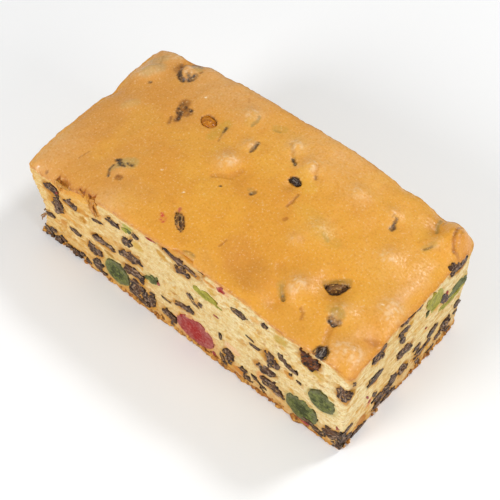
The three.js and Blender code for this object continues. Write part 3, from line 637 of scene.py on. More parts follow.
# What marks the skin: a path in plan, its width, how far it sinks, its colour, how much of it
# covers, and how speckled it is.
MARKS = (
    # Film drawn over fruit, the places where the batter was yellower or browner, and painted shade in one
    # broad dent.
    (((-48.5, -20.5), (-45.5, -18.5)), 6, -0.3, "#b9a05c", 0.7, 0.2),
    (((-50.4, -25), (-49, -22.6)), 3.4, 0, "#b0924c", 0.6, 0.2),
    (((62.8, -24.4), (64.6, -22.6)), 4.2, 0, "#cf9a3a", 0.6, 0.2),
    (((65, -25), (67.4, -24.4)), 3.6, -0.3, "#ab872f", 0.8, 0.2),
    (((54.4, -16.2), (56.6, -13.2), (60.4, -10.4)), 3.4, 0.4, "#ac7f2c", 0.75, 0.1),
    (((41, -27), (43, -29)), 3.4, 0.2, "#c49f44", 0.6, 0.2),
    (((-19.6, 25), (-19, 29)), 4, -0.3, "#d0a04a", 0.5, 0.2),
    (((-17.4, 24.6), (-17, 27.4), (-17.6, 29.8)), 1.3, 0.3, "#8f7a40", 0.7, 0.2),
    (((-27.6, 11), (-26.6, 19)), 5, 0, "#c59a34", 0.6, 0.2),
    (((38, -1.5), (46, -1)), 6, -0.3, "#d5a23c", 0.5, 0.2),
    (((40.6, -0.6), (43, -1.6)), 2.2, 0, "#b09444", 0.6, 0.2),
    (((72.8, 21), (74.8, 24)), 3, 0, "#c39c4c", 0.6, 0.2),
    (((-8.6, 30), (-6, 31.4)), 4.4, 0, "#c0993e", 0.5, 0.3),
    (((-8.4, 29), (-6.4, 29.4)), 1.3, 0.2, "#8f7c40", 0.5, 0.3),
    (((3.6, -40.4), (6.2, -39.6)), 3.6, -0.4, "#b3924f", 0.75, 0.4),
    (((2, -39), (4.8, -38), (7.6, -38.4)), 0.8, 0.1, "#8f6a34", 0.6, 0.4),
    (((3.4, -41.4), (6.6, -41)), 1.6, 0, "#7a5c30", 0.7, 0.6),
    (((-77.6, 24), (-75, 29)), 6.5, -0.5, "#c9a266", 0.9, 0.1),
    (((-80.5, 31), (-77.5, 35)), 5, -0.5, "#c8a268", 0.8, 0.1),
    (((-71.6, 3.7), (-68.4, 7.9)), 4, -0.3, "#cda25a", 0.6, 0.2),
    (((-79, 36), (-76, 31)), 1, 0.2, "#a37a3c", 0.5, 0.3),
    (((9, -36), (16, -40)), 7, 0, "#c99450", 0.25, 0.2),
    # The next brown stretch lies in the broad dent at (24, -30) and is painted shade there.
    (((18, -26), (32, -31)), 14, 0, "#c17a2e", 0.4, 0.3),
    (((-46, -28), (-28, -27)), 9, 0, "#c98a40", 0.3, 0.3),
    (((15, 18), (22, 14)), 6, 0, "#e2ac3e", 0.55, 0.2),
    (((26, 4), (40, 2)), 7, 0, "#dfaa3e", 0.4, 0.3),
    (((60, 30), (68, 26)), 7, 0, "#e3ab40", 0.3, 0.3),
    (((-22, 5), (-20, 12)), 5, 0, "#e3a83c", 0.4, 0.3),
    # Creases and splits, painted darker: partly the split skin and the fruit in them, partly painted shade in
    # the creases.
    (((69.2, 38), (69.8, 35), (71, 33), (72, 31)), 1.6, 0.9, "#9a8040", 0.8, 0.2),
    (((71.4, 39.6), (71.6, 35.6)), 1.1, 0.7, "#c0802c", 0.7, 0.2),
    (((77.6, 39.6), (78, 34.8), (79.4, 30.6), (82, 27.6)), 1.4, 1.3, "#a5641a", 0.85, 0.1),
    (((80.2, 37.4), (80.8, 33), (82.4, 30)), 0.9, 0.4, "#b0701e", 0.6, 0.2),
    (((81.6, 31), (84, 33), (83.4, 37.6)), 5.0, -0.9, "#cf8630", 0.5, 0.1),
    (((82, 28), (84.6, 28.4)), 1.4, 0.3, "#9c5a16", 0.7, 0.2),
    (((-13.4, -4.6), (-7.1, -1), (-5.4, 4.4)), 2.4, 1.0, "#c27f26", 0.6, 0.2),
    (((41.6, -27.4), (43.3, -29.2), (45.2, -30.6)), 1.7, 0.5, "#9a8440", 0.75, 0.4),
    (((36, -21), (41, -26.9), (44, -30)), 4.5, 1.1, "#d08d33", 0.3, 0.2),
    (((53.3, -30.4), (55.2, -31.2), (55.8, -33)), 1.4, 0.7, "#b06e1e", 0.7, 0.2),
    (((2, 26.5), (4.7, 24.4), (7.7, 21)), 1.8, 0.9, "#b9812f", 0.5, 0.3),
    (((7.2, 21.4), (10, 19.6)), 1.6, 0.6, "#33220f", 0.95, 0.2),
    (((18, 24), (19.5, 21), (21.4, 19.4)), 1.5, 0.7, "#c08028", 0.5, 0.2),
    (((20.3, 19.9), (20.9, 18.9)), 1.2, 0.7, "#8a5a20", 0.8, 0.2),
    (((20.3, 8.9), (20.9, 4.6), (20.6, 1.3)), 1.2, 0.7, "#a0601a", 0.75, 0.2),
    (((79.5, -24.8), (82.8, -22.2), (85, -21)), 1.8, 0.9, "#c07c30", 0.5, 0.1),
    (((11.8, -29.2), (12.4, -25.5)), 0.8, 0.3, "#b06c20", 0.8, 0.1),
    (((-67.9, -27.9), (-66.4, -23.3)), 0.8, 0.3, "#a96c30", 0.6, 0.3),
    (((-38.6, 1), (-36, 3)), 0.7, 0.2, "#b07838", 0.4, 0.3),
    (((-28.6, 36), (-27, 34)), 0.8, 0.3, "#b07030", 0.5, 0.3),
    (((67, -29.6), (68.4, -34), (70.6, -38)), 2.6, 1.3, "#bf7c28", 0.5, 0.2),
    # Bare fruit and dark specks.
    (((-52, -20.4), (-51, -20)), 2.2, 0.4, "#221c1c", 1.0, 0.2),
    (((-50.2, -21.2), (-48, -21.6)), 2.2, 0.3, "#2c2622", 1.0, 0.6),
    (((-48.6, -22.6), (-46.6, -21.8)), 1.6, 0.2, "#3a2f24", 0.9, 0.6),
    (((-46.4, -19.8), (-44.2, -19.4)), 1.9, 0.2, "#2f2822", 0.95, 0.6),
    (((-51.4, -23.4), (-51.3, -26), (-49.2, -28.8)), 1.2, 0.5, "#46392a", 0.95, 0.3),
    (((-45.2, -27.4), (-44, -27)), 2.6, 0.4, "#87501a", 0.9, 0.3),
    (((-50, 18.8), (-48.6, 15.4), (-45.6, 15.6)), 5.4, 0.5, "#8a5418", 0.9, 0.3),
    (((-47.8, 13), (-46.8, 10)), 3.0, 0.4, "#7d4a16", 0.9, 0.4),
    (((-50.6, 18.6), (-50.4, 15), (-49.4, 13.4)), 1.8, 0.2, "#3a2412", 0.95, 0.6),
    (((-48.6, 17.6), (-47.2, 16.8), (-44.4, 17.2)), 1.6, 0.2, "#3a2412", 0.95, 0.6),
    (((-48.2, 14.6), (-47.2, 12), (-46.2, 10.6)), 1.8, 0.2, "#342012", 0.95, 0.5),
    (((-49.8, 10), (-48.3, 6.8)), 1.5, 0.4, "#7a4716", 0.9, 0.5),
    (((-25.6, 17.8), (-25.3, 16.2)), 1.6, 0.8, "#262018", 0.95, 0.3),
    (((-25.4, 15.6), (-23.6, 10.6)), 0.8, 0.5, "#9a6a2c", 0.7, 0.3),
    (((-8.7, 13.8), (-8.5, 16.3), (-9.4, 19.2)), 1.6, 0.8, "#3a2a18", 0.95, 0.2),
    (((-10.4, 14.6), (-10.2, 18.8)), 1.6, -0.2, "#dfb070", 0.6, 0.3),
    (((5.2, -2.6), (6, -1.2)), 1.8, 0.6, "#332a1a", 0.95, 0.3),
    (((3.4, -1.2), (5.4, -1)), 2.4, 0.3, "#b08c46", 0.5, 0.5),
    (((24.1, -4.2), (24.3, -3.6)), 1.8, 0.3, "#b5701c", 0.9, 0.2),
    (((44.4, -29.8), (45.8, -31)), 1.5, 0.8, "#665526", 0.9, 0.4),
    (((56.8, 24.8), (57.4, 22)), 1.5, 0.3, "#33241a", 0.95, 0.3),
    (((58.2, 20.9), (58, 20.2)), 2.6, 0.6, "#33241a", 0.95, 0.3),
    (((55.0, 26), (55.2, 24.4)), 0.9, 0.3, "#b5803c", 0.7, 0.4),
    (((73.0, 20.8), (74.8, 23.2)), 0.9, 0.4, "#4f4226", 0.9, 0.4),
    (((-72.6, 20.4), (-72.2, 20.8)), 1.5, 0.4, "#5f3f20", 0.9, 0.4),
    (((-67.4, 33.6), (-67.4, 36.4)), 4.6, 0, "#99601e", 0.8, 0.4),
    (((-69, 37.4), (-67.6, 35.4)), 1.2, 0.1, "#6a3f16", 0.8, 0.5),
    (((-64.4, 38.2), (-61.5, 38.8), (-58.4, 37.4)), 3.2, 0, "#bd9c58", 0.7, 0.2),
    (((-66, 37), (-65.6, 33.6), (-64.4, 31)), 2.6, 0.3, "#33302e", 1.0, 0.5),
    (((-64.4, 30.9), (-61.8, 29.2), (-60.4, 29)), 2.2, 0.4, "#1f1b1c", 1.0, 0.2),
    (((-60, 32), (-58.4, 31)), 2.0, 0.3, "#5a4c3c", 0.8, 0.5),
    (((-58, 30.2), (-56.8, 31.6), (-57.2, 33.8)), 2.2, 0.4, "#332d2a", 1.0, 0.5),
    (((-64.2, 39.9), (-61.4, 40.4), (-58.6, 39.4)), 1.4, 0.3, "#3f4046", 0.85, 0.4),
    (((-62.4, 37), (-60.6, 36.4)), 0.9, 0, "#8a8070", 0.7, 0.5),
    (((-56.6, 36), (-56.2, 36.8)), 1.2, 0.2, "#74491c", 0.8, 0.3),
    (((-7.0, -7.2), (-6.6, -7.0)), 0.9, 0.2, "#2c1c10", 1.0, 0),
    (((-75.8, -39.9), (-75.2, -39.7)), 1.2, 0.3, "#8a5a34", 0.8, 0.4),
    (((-17, -31), (-15.6, -31.6)), 1.7, 0.1, "#c8362c", 0.95, 0.8),
    (((-15.4, -33.2), (-13.8, -33.4)), 1.6, 0.1, "#c8443a", 0.9, 0.8),
    (((-14.2, -31.4), (-13.6, -32.2)), 1.0, 0.1, "#cc4a38", 0.8, 0.6),
    (((-12.6, -24.9), (-12.2, -25.6)), 1.3, 0.2, "#a83048", 0.9, 0.3),
    (((31.4, -7), (33, -8)), 1.4, 0, "#c8745a", 0.6, 1.0),
    (((68.4, -26.8), (66.6, -27.6), (64.8, -27.4)), 2.6, 1.0, "#70502a", 0.9, 0.3),
    (((68, -27.8), (66.4, -28.4), (65, -27.9)), 1.2, 0.8, "#2e1b0c", 1.0, 0),
    (((55.2, -16.6), (57.6, -17.6), (59.9, -15.6), (61.2, -12.2)), 2.2, 0.5, "#3c2514", 1.0, 0),
    (((56.8, -17.9), (58.6, -18.1), (60.6, -15.9)), 0.9, 0.4, "#22130a", 1.0, 0),
    (
        ((68.4, -40.6), (68.8, -38.4), (70.6, -37.2), (72.4, -38.6), (72.6, -40.6)),
        2.0, 0.5, "#2a1a10", 0.95, 0.1,
    ),
    # White sugar dots.
    (((-32.4, -14.6), (-32.1, -14.4)), 0.6, 0, "#fff0cc", 0.6, 0),
    (((-16.8, -18.4), (-16.6, -18.2)), 0.7, 0, "#fff0cc", 0.8, 0),
    (((-44.6, 25.8), (-44.2, 25.9)), 0.7, 0, "#fff0cc", 0.8, 0),
    (((-80.9, -40.2), (-80.6, -40.0)), 0.8, 0, "#fff0d8", 0.9, 0),
    (((53, -20), (53.2, -19.8)), 0.5, 0, "#fff0cc", 0.7, 0),
    (((76.4, -10.6), (76.5, -10.4)), 0.5, 0, "#fff0cc", 0.7, 0),
)


def from_path(points, path):
    """How far points in plan lie from a path."""
    nearest = np.full(len(points), 1e9)
    for start, end in zip(path[:-1], path[1:]):
        start, stretch = np.array(start, float), np.subtract(end, start).astype(float)
        share = np.clip((points - start) @ stretch / (stretch @ stretch), 0, 1)
        nearest = np.minimum(nearest, np.hypot(*(points - start - share[:, None] * stretch).T))
    return nearest


skin, column, row = start_grid("baked_skin", SKIN_COLUMNS, SKIN_ROWS)
across, along = spread_over_plan(column, row, SKIN_COLUMNS, SKIN_ROWS, SKIN_OVERHANG, SKIN_CORNERS)
# The front edge: a little uneven all along, notched once, and torn back near the left end.
line = np.column_stack((across, np.zeros(len(across)), np.zeros(len(across))))
torn_back = smooth_step(-70, -68.4, across) * smooth_step(-45.2, -46.8, across)
retreat = 0.22 * grain(line, 2.2, 31) + 0.2 * grain(line, 0.9, 32) + 0.1
retreat += 1.5 * smooth_step(-5, 0, across) * smooth_step(8.8, 8.2, across)
retreat += torn_back * (1.9 + 0.9 * grain(line, 3.4, 33) + 0.9 * grain(line, 1.4, 34))
to_front = 1 - row / SKIN_ROWS
along = along + np.maximum(retreat, -0.2) * to_front**5
place = np.column_stack((across, along, np.zeros(len(across))))
# The other edges fray less.
to_end = np.clip(abs(column / SKIN_COLUMNS * 2 - 1), 0, 1) ** 40
place[:, 0] += to_end * 0.35 * grain(place, 1.6, 35)
place[:, 0] += np.exp(-column / 8) * (0.8 + 0.5 * smooth_step(-5, 12, place[:, 1]))
to_back = (row / SKIN_ROWS) ** 40
place[:, 1] += to_back * 0.25 * grain(place, 1.6, 36)
place[:, 2] = skin_height(place[:, 0], place[:, 1], SKIN_DROP)
# Over the back right bulge the skin follows the block.
corner = np.clip((place[:, 0] - 78) / 7, 0, 1) * np.clip((place[:, 1] - 33) / 8, 0, 1)
place[:, :2] -= (corner * 0.3)[:, None]

plan = place[:, :2]
fleck = grain(place, 0.9, 37)
place[:, 2] += 0.42 * grain(place, 10, 38) + 0.18 * grain(place, 4.5, 39) + 0.06 * grain(place, 2, 42)
tint = np.tile(linear("#e4a133"), (len(place), 1))
# Duller and browner towards the far left, partly the skin's own browner tone and partly painted shade away
# from the light at the right; yellower where the skin is thin.
paint(tint, 0.8 * smooth_step(15, -75, place[:, 0] - 0.3 * place[:, 1]), "#d29346")
paint(tint, 0.4 * smooth_step(0.0, 0.6, grain(place, 16, 40)), "#d78f2c")
paint(tint, 0.4 * smooth_step(0.0, 0.6, grain(place, 13, 41)), "#e5a93c")
paint(tint, 0.25 * smooth_step(0.1, 0.7, grain(place, 4, 43)), "#d08828")
# Crests are painted paler and the dents between them darker: partly the skin's own baked tone, partly a
# painted highlight on the crests and painted shade in the dents.
crest_highlight_and_dent_shade = np.zeros(len(place))
painted_highlight = np.zeros(len(place))
for knuckle_x, knuckle_y, reach, rise in KNUCKLES[:-2]:
    near = np.exp(-((place[:, 0] - knuckle_x) ** 2 + (place[:, 1] - knuckle_y) ** 2) / (reach * 0.8) ** 2)
    crest_highlight_and_dent_shade += near * np.clip(rise, -1.2, 1.2)
    painted_highlight += near * np.clip(rise, 0, 1.2) * (reach < HIGHLIGHT_REACH)
paint(tint, 0.3 * np.clip(crest_highlight_and_dent_shade, 0, 1) * (1 + 0.6 * fleck), "#e8be88")
# The smaller ones get a painted highlight, a crackle of whitish specks.
paint(tint, 0.35 * smooth_step(0.45, 1.0, painted_highlight) * smooth_step(-0.1, 0.4, fleck), "#f3dcb4")
paint(tint, 0.35 * np.clip(-crest_highlight_and_dent_shade, 0, 1), "#cb8730")
# Beside the right cut it is paler in patches: a painted sheen where the rolled skin catches the light, and
# partly the thinner skin's paler tone.
painted_sheen = smooth_step(73, 79, place[:, 0]) * smooth_step(84.8, 82.5, place[:, 0])
painted_sheen *= smooth_step(-0.3, 0.4, grain(place, (6, 8, 6), 44)) * smooth_step(30, 20, place[:, 1])
paint(tint, 0.14 * painted_sheen, "#efcba4")
for path, wide, sink, code, amount, speckle in MARKS:
    away = from_path(plan, path) + 0.22 * wide**0.5 * fleck
    place[:, 2] -= 0.5 * sink * (smooth_step(wide * 0.75, 0, away) + np.exp(-((away / (wide + 1.4)) ** 2)))
    inside = smooth_step(wide * 0.66, wide * 0.3, away)
    specks = 1 - speckle + speckle * smooth_step(-0.25, 0.15, fleck)
    paint(tint, amount * inside * specks, code)

# Baked darkest along the cut edge, and along the torn one.
by_edge = np.minimum(np.minimum(column, SKIN_COLUMNS - column), np.minimum(row, SKIN_ROWS - row))
# Where the skin rolls down over the right cut it is painted deeper orange: partly its own colour, partly
# painted shade on the roll's underside.
roll_tone_and_shade = smooth_step(2.4, 0.4, 85.3 - place[:, 0])
paint(tint, 0.5 * roll_tone_and_shade, "#d98f1e")
paint(tint, 0.5 * (by_edge == 0) * (0.8 + fleck), "#b87128")
paint(tint, 0.3 * (by_edge == 1) * (0.5 + fleck), "#c58238")
paint(tint, 0.6 * torn_back * smooth_step(0.97, 0.995, to_front) * (0.7 + fleck), "#b0641a")

# Where a fruit breaks the skin, the skin gives way round it and is painted dark there: painted shade in the
# gap.
for name in top_fruit:
    shape = surface_of(name)
    low, high = ((np.array(c) / MILLIMETRE - MIDDLE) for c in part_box(name))
    near = ((plan > low[:2] - 0.5) & (plan < high[:2] + 0.5)).all(axis=1)
    gap_shade_code, gap_depth = GAPS.get(name, SHADED_GAP)
    middle = (low + high) / 2
    for i in np.flatnonzero(near):
        above = (Vector(place[i]) + Vector(MIDDLE)) * MILLIMETRE
        above.z += LOOK_FROM * MILLIMETRE
        hit, _, _, _ = shape.ray_cast(above, Vector((0, 0, -1)))
        if hit is None:
            continue
        fruit_top = hit.z / MILLIMETRE
        beyond = 0.77 * (place[i, 1] - middle[1]) - 0.64 * (place[i, 0] - middle[0])
        filmed = name == FILMED and beyond > 0.5
        if name == CAPPED or filmed:
            place[i, 2] = max(place[i, 2], fruit_top + 0.25)
            if filmed:
                paint(tint[i : i + 1], np.array((0.6,)), "#a67a2a")
        # The lowered skin round the fruit takes the gap's colour, a painted shade.
        elif fruit_top > place[i, 2] - 0.9:
            place[i, 2] = fruit_top - gap_depth
            tint[i] = linear(gap_shade_code)
move_points(skin.data, place)
store(skin.data, "tint", tint)
shape_rim(skin, ((-0.35, 1.0015), (-0.45, 1.0), (-0.35, 0.994), (-4.0, 0.9)))

# Baked batter skin: smooth, with a soft sheen from its sugar and fat, and fine light and dark specks.
golden = new_material("golden_cake_skin")
shader = golden.node_tree.nodes["Principled BSDF"]
shader.inputs["IOR"].default_value = 1.48
shader.inputs["Subsurface Weight"].default_value = 0.08
shader.inputs["Subsurface Radius"].default_value = (1.0, 0.5, 0.2)
shader.inputs["Subsurface Scale"].default_value = MILLIMETRE
coords = add_node(golden, "TexCoord")
at_place = {"Vector": coords.outputs["Object"]}
painted = add_node(golden, "Attribute", attribute_name="tint")
# Specks just under a millimetre, and the pebbling of the skin, 2.2 mm.
fine = add_node(golden, "TexNoise", {"Scale": 1 / 0.0009, "Detail": 2, "Roughness": 0.6}, at_place)
dark = add_node(
    golden, "MapRange", {"From Min": 0.53, "From Max": 0.72, "To Max": 0.45}, {"Value": fine.outputs["Fac"]}
)
pale = add_node(
    golden, "MapRange", {"From Min": 0.42, "From Max": 0.26, "To Max": 0.5}, {"Value": fine.outputs["Fac"]}
)
darker = add_node(
    golden, "Mix", {7: (*linear("#bf7a12"), 1)},
    {0: dark.outputs[0], 6: painted.outputs["Color"]}, data_type="RGBA",
)
paler = add_node(
    golden, "Mix", {7: (*linear("#efcb98"), 1)}, {0: pale.outputs[0], 6: darker.outputs[2]}, data_type="RGBA"
)
# Its sheen breaks up into a fine crackle.
gloss = add_node(
    golden, "MapRange", {"From Min": 0.4, "From Max": 0.6, "To Min": 0.34, "To Max": 0.52},
    {"Value": fine.outputs["Fac"]},
)
pebble = add_node(golden, "TexNoise", {"Scale": 1 / 0.0022, "Detail": 3}, at_place)
coarse = add_node(golden, "Bump", {"Strength": 0.35, "Distance": 0.0005}, {"Height": pebble.outputs["Fac"]})
bump = add_node(
    golden, "Bump", {"Strength": 0.35, "Distance": 0.0002},
    {"Height": fine.outputs["Fac"], "Normal": coarse.outputs[0]},
)
golden.node_tree.links.new(paler.outputs[2], shader.inputs["Base Color"])
golden.node_tree.links.new(gloss.outputs[0], shader.inputs["Roughness"])
golden.node_tree.links.new(bump.outputs[0], shader.inputs["Normal"])
place_piece(skin, golden, "cake", "cake")

# ---- Torn shreds of skin -----------------------------------------------------------------------
# Thin curled strips that still hang where the skin tore off the front edge, and dry threads at the
# broken left end. Each is a strip of skin about a third of a millimetre thick.

SHRED_STEPS = 20
SHRED_ROWS = 3
SHRED_THICKNESS = 0.35
# Each one's path from its root to its tip, its width, and its colour.
SHREDS = (
    (((-70, -40.6, 46.0), (-66, -41.2, 47.4), (-62.5, -41.6, 48.4), (-60, -41.3, 48.6)), 2.0, "#bf8626"),
    (((-68, -40.0, 47.6), (-66.5, -41.4, 45.6), (-66.0, -41.7, 43.8)), 2.2, "#cc8c2e"),
    (((-56, -39.6, 50.2), (-53, -40.6, 50.9), (-51.5, -41.3, 50.4)), 1.6, "#c58226"),
    (((-51, -39.4, 51.2), (-49.6, -41.0, 50.6), (-48.4, -41.7, 49.0)), 1.5, "#cf8e30"),
    (((-47.6, -40.2, 51.2), (-47, -41.7, 48.6), (-45.6, -42.0, 45.6), (-44.6, -41.9, 43.8)), 2.4, "#c07e22"),
    (((-46.4, -40.6, 51.8), (-45.2, -41.4, 52.0), (-43.9, -41.5, 51.2)), 1.7, "#cc8a28"),
    (((-79.6, -40.4, 17.5), (-81.4, -41.0, 14.8), (-83.4, -41.4, 12.0), (-84.6, -41.2, 9.2)), 0.9, "#8a5a26"),
    (((-80.6, -40.6, 15.6), (-83.0, -40.8, 14.2), (-84.6, -41.2, 11.8)), 0.7, "#a8742e"),
    (((-78.4, -40.8, 20.5), (-80.2, -41.2, 20.0), (-81.6, -41.2, 18.2)), 0.9, "#5a381c"),
)

strips = []
for number, (path, wide, code) in enumerate(SHREDS):
    strip, column, row = start_grid("shred", SHRED_STEPS, SHRED_ROWS)
    run = np.linspace(0, 1, len(path))
    share = column / SHRED_STEPS
    spine = np.stack([np.interp(share, run, np.array(path)[:, axis]) for axis in range(3)], axis=1)
    course = np.subtract(path[-1], path[0])
    sideways = np.cross(course / np.linalg.norm(course), (0, -1, 0.3))
    width = wide * (1 - 0.75 * share**1.5) * (1 + 0.3 * grain(spine, 0.9, number))
    offset = (row / SHRED_ROWS - 0.5) * width
    curl = 0.25 * wide * (2 * row / SHRED_ROWS - 1) ** 2
    shape = spine + sideways * offset[:, None] + np.array((0, -1, 0)) * curl[:, None]
    shape += 0.25 * np.stack([grain(spine, 1.6, number + axis) for axis in (0.2, 0.4, 0.6)], axis=1)
    shape[:, 1] = np.maximum(shape[:, 1], -42.2)
    shape[:, 2] = np.maximum(shape[:, 2], 0.6)
    move_points(strip.data, shape)
    colour = np.tile(linear(code), (len(shape), 1))
    paint(colour, 0.7 * smooth_step(0.2, 0.0, share), "#d9983c")
    paint(colour, 0.4 * smooth_step(0, 0.5, grain(shape, 0.8, number)), "#80500f")
    store(strip.data, "tint", colour)
    thicken = strip.modifiers.new("thicken", "SOLIDIFY")
    thicken.thickness = SHRED_THICKNESS * MILLIMETRE
    thicken.offset = 0
    bpy.ops.object.modifier_apply(modifier=thicken.name)
    strips.append(strip)


def join_pieces(name, parts):
    """Makes one piece of several, with every face outwards."""
    bpy.ops.object.select_all(action="DESELECT")
    for part in parts:
        part.select_set(True)
    bpy.context.view_layer.objects.active = parts[0]
    bpy.ops.object.join()
    whole = bpy.context.object
    whole.name = name
    whole.data.name = name
    bpy.ops.object.mode_set(mode="EDIT")
    bpy.ops.mesh.select_all(action="SELECT")
    bpy.ops.mesh.normals_make_consistent(inside=False)
    bpy.ops.object.mode_set(mode="OBJECT")
    bpy.ops.object.shade_smooth()
    return whole


shreds = join_pieces("torn_skin_shreds", strips)
place_piece(shreds, golden, "cake", "cake")

# ---- Large fruit -------------------------------------------------------------------------------
# Glace cherries, which are stoned cherries steeped in sugar and dyed red or green, candied lime
# fruit, and raisins. The knife went through those in the cuts, so they show their insides there.

FRUIT_VOXEL = 0.4
# How deep the wrinkles of each kind of fruit go, and those of the raisins in the skin.
WRINKLES = {"raisin": 1.9, "cherry": 0.4, "chip": 1.0}
TOP_WRINKLE = 0.6

cut_raisin = new_material("cut_raisin")
whole_raisin = new_material("raisin_skin")
open_raisin = new_material("torn_open_raisin")
dark_raisin = new_material("dark_raisin_skin")
red_cherry = new_material("red_glace_cherry")
green_cherry = new_material("green_glace_cherry")
lime_fruit = new_material("candied_lime_fruit")
amber_sultana = new_material("amber_sultana")

# Raisins: nearly black skin and dark brown flesh in folds, moist, with grey streaks that are partly a sugar
# bloom and partly a painted highlight, and pale crumbs that cling to them. The one torn open shows glossy
# amber brown.
for material, shade, flesh, bloom_and_highlight, bloom_and_highlight_amount, crumbs, outline_amount, rough, ior in (
    (cut_raisin, "#22120a", "#5c3a20", "#a2866e", 0.85, 0.5, 0.5, 0.5, 1.35),
    (whole_raisin, "#38220f", "#7a5229", "#b08c58", 0.8, 1.0, 0.2, 0.34, 1.35),
    (open_raisin, "#180800", "#602c00", "#a05c14", 0.5, 0.0, 0.5, 0.2, 1.22),
    (dark_raisin, "#120b08", "#3c2c25", "#a89c8e", 0.6, 0.1, 0.5, 0.25, 1.35),
):
    shader = material.node_tree.nodes["Principled BSDF"]
    shader.inputs["Roughness"].default_value = rough
    shader.inputs["IOR"].default_value = ior
    coords = add_node(material, "TexCoord")
    rim = add_node(material, "Attribute", attribute_name="rim")
    fibre = add_node(material, "Attribute", attribute_name="fibre")
    along_it = {"Vector": fibre.outputs["Vector"]}
    # Folds that run along the raisin, 1.8 mm apart, fibres 1.2 mm apart between them, and crumbs
    # drawn about a millimetre across so that they show.
    folds = add_node(
        material, "TexNoise", {"Scale": 1 / 1.8, "Detail": 4, "Roughness": 0.65, "Distortion": 0.8}, along_it
    )
    fibres = add_node(
        material, "TexNoise", {"Scale": 1 / 1.2, "Detail": 3, "Roughness": 0.7, "Distortion": 0.6}, along_it
    )
    grit = add_node(
        material, "TexNoise", {"Scale": 1 / 0.0011, "Detail": 2}, {"Vector": coords.outputs["Object"]}
    )
    share = add_node(
        material, "MapRange", {"From Min": 0.42, "From Max": 0.56},
        {"Value": folds.outputs["Fac"]},
    )
    mixed = add_node(
        material, "Mix", {6: (*linear(shade), 1), 7: (*linear(flesh), 1)},
        {0: share.outputs[0]}, data_type="RGBA",
    )
    # Grey streaks along the fibres: partly sugar bloom, partly a painted highlight on the moist skin.
    grey = add_node(
        material, "MapRange", {"From Min": 0.53, "From Max": 0.61, "To Max": bloom_and_highlight_amount},
        {"Value": fibres.outputs["Fac"]},
    )
    greyed = add_node(
        material, "Mix", {7: (*linear(bloom_and_highlight), 1)}, {0: grey.outputs[0], 6: mixed.outputs[2]}, data_type="RGBA"
    )
    # Darkest at its outline, unevenly.
    uneven = add_node(material, "MapRange", {"To Min": -0.6, "To Max": 0.6}, {"Value": folds.outputs["Fac"]})
    edge = add_node(material, "Math", {}, {0: rim.outputs["Fac"], 1: uneven.outputs[0]}, operation="ADD")
    edge_share = add_node(
        material, "MapRange", {"From Min": 0.7, "From Max": 1.0, "To Max": outline_amount},
        {"Value": edge.outputs[0]},
    )
    rimmed = add_node(
        material, "Mix", {7: (*linear("#1a0c05"), 1)}, {0: edge_share.outputs[0], 6: greyed.outputs[2]},
        data_type="RGBA",
    )
    gritty = add_node(
        material, "MapRange", {"From Min": 0.61, "From Max": 0.67, "To Max": crumbs},
        {"Value": grit.outputs["Fac"]},
    )
    dusted = add_node(
        material, "Mix", {7: (*linear("#c9994c"), 1)}, {0: gritty.outputs[0], 6: rimmed.outputs[2]},
        data_type="RGBA",
    )
    bump = add_node(
        material, "Bump", {"Strength": 0.8, "Distance": 0.0008},
        {"Height": fibres.outputs["Fac"]},
    )
    material.node_tree.links.new(dusted.outputs[2], shader.inputs["Base Color"])
    material.node_tree.links.new(bump.outputs[0], shader.inputs["Normal"])

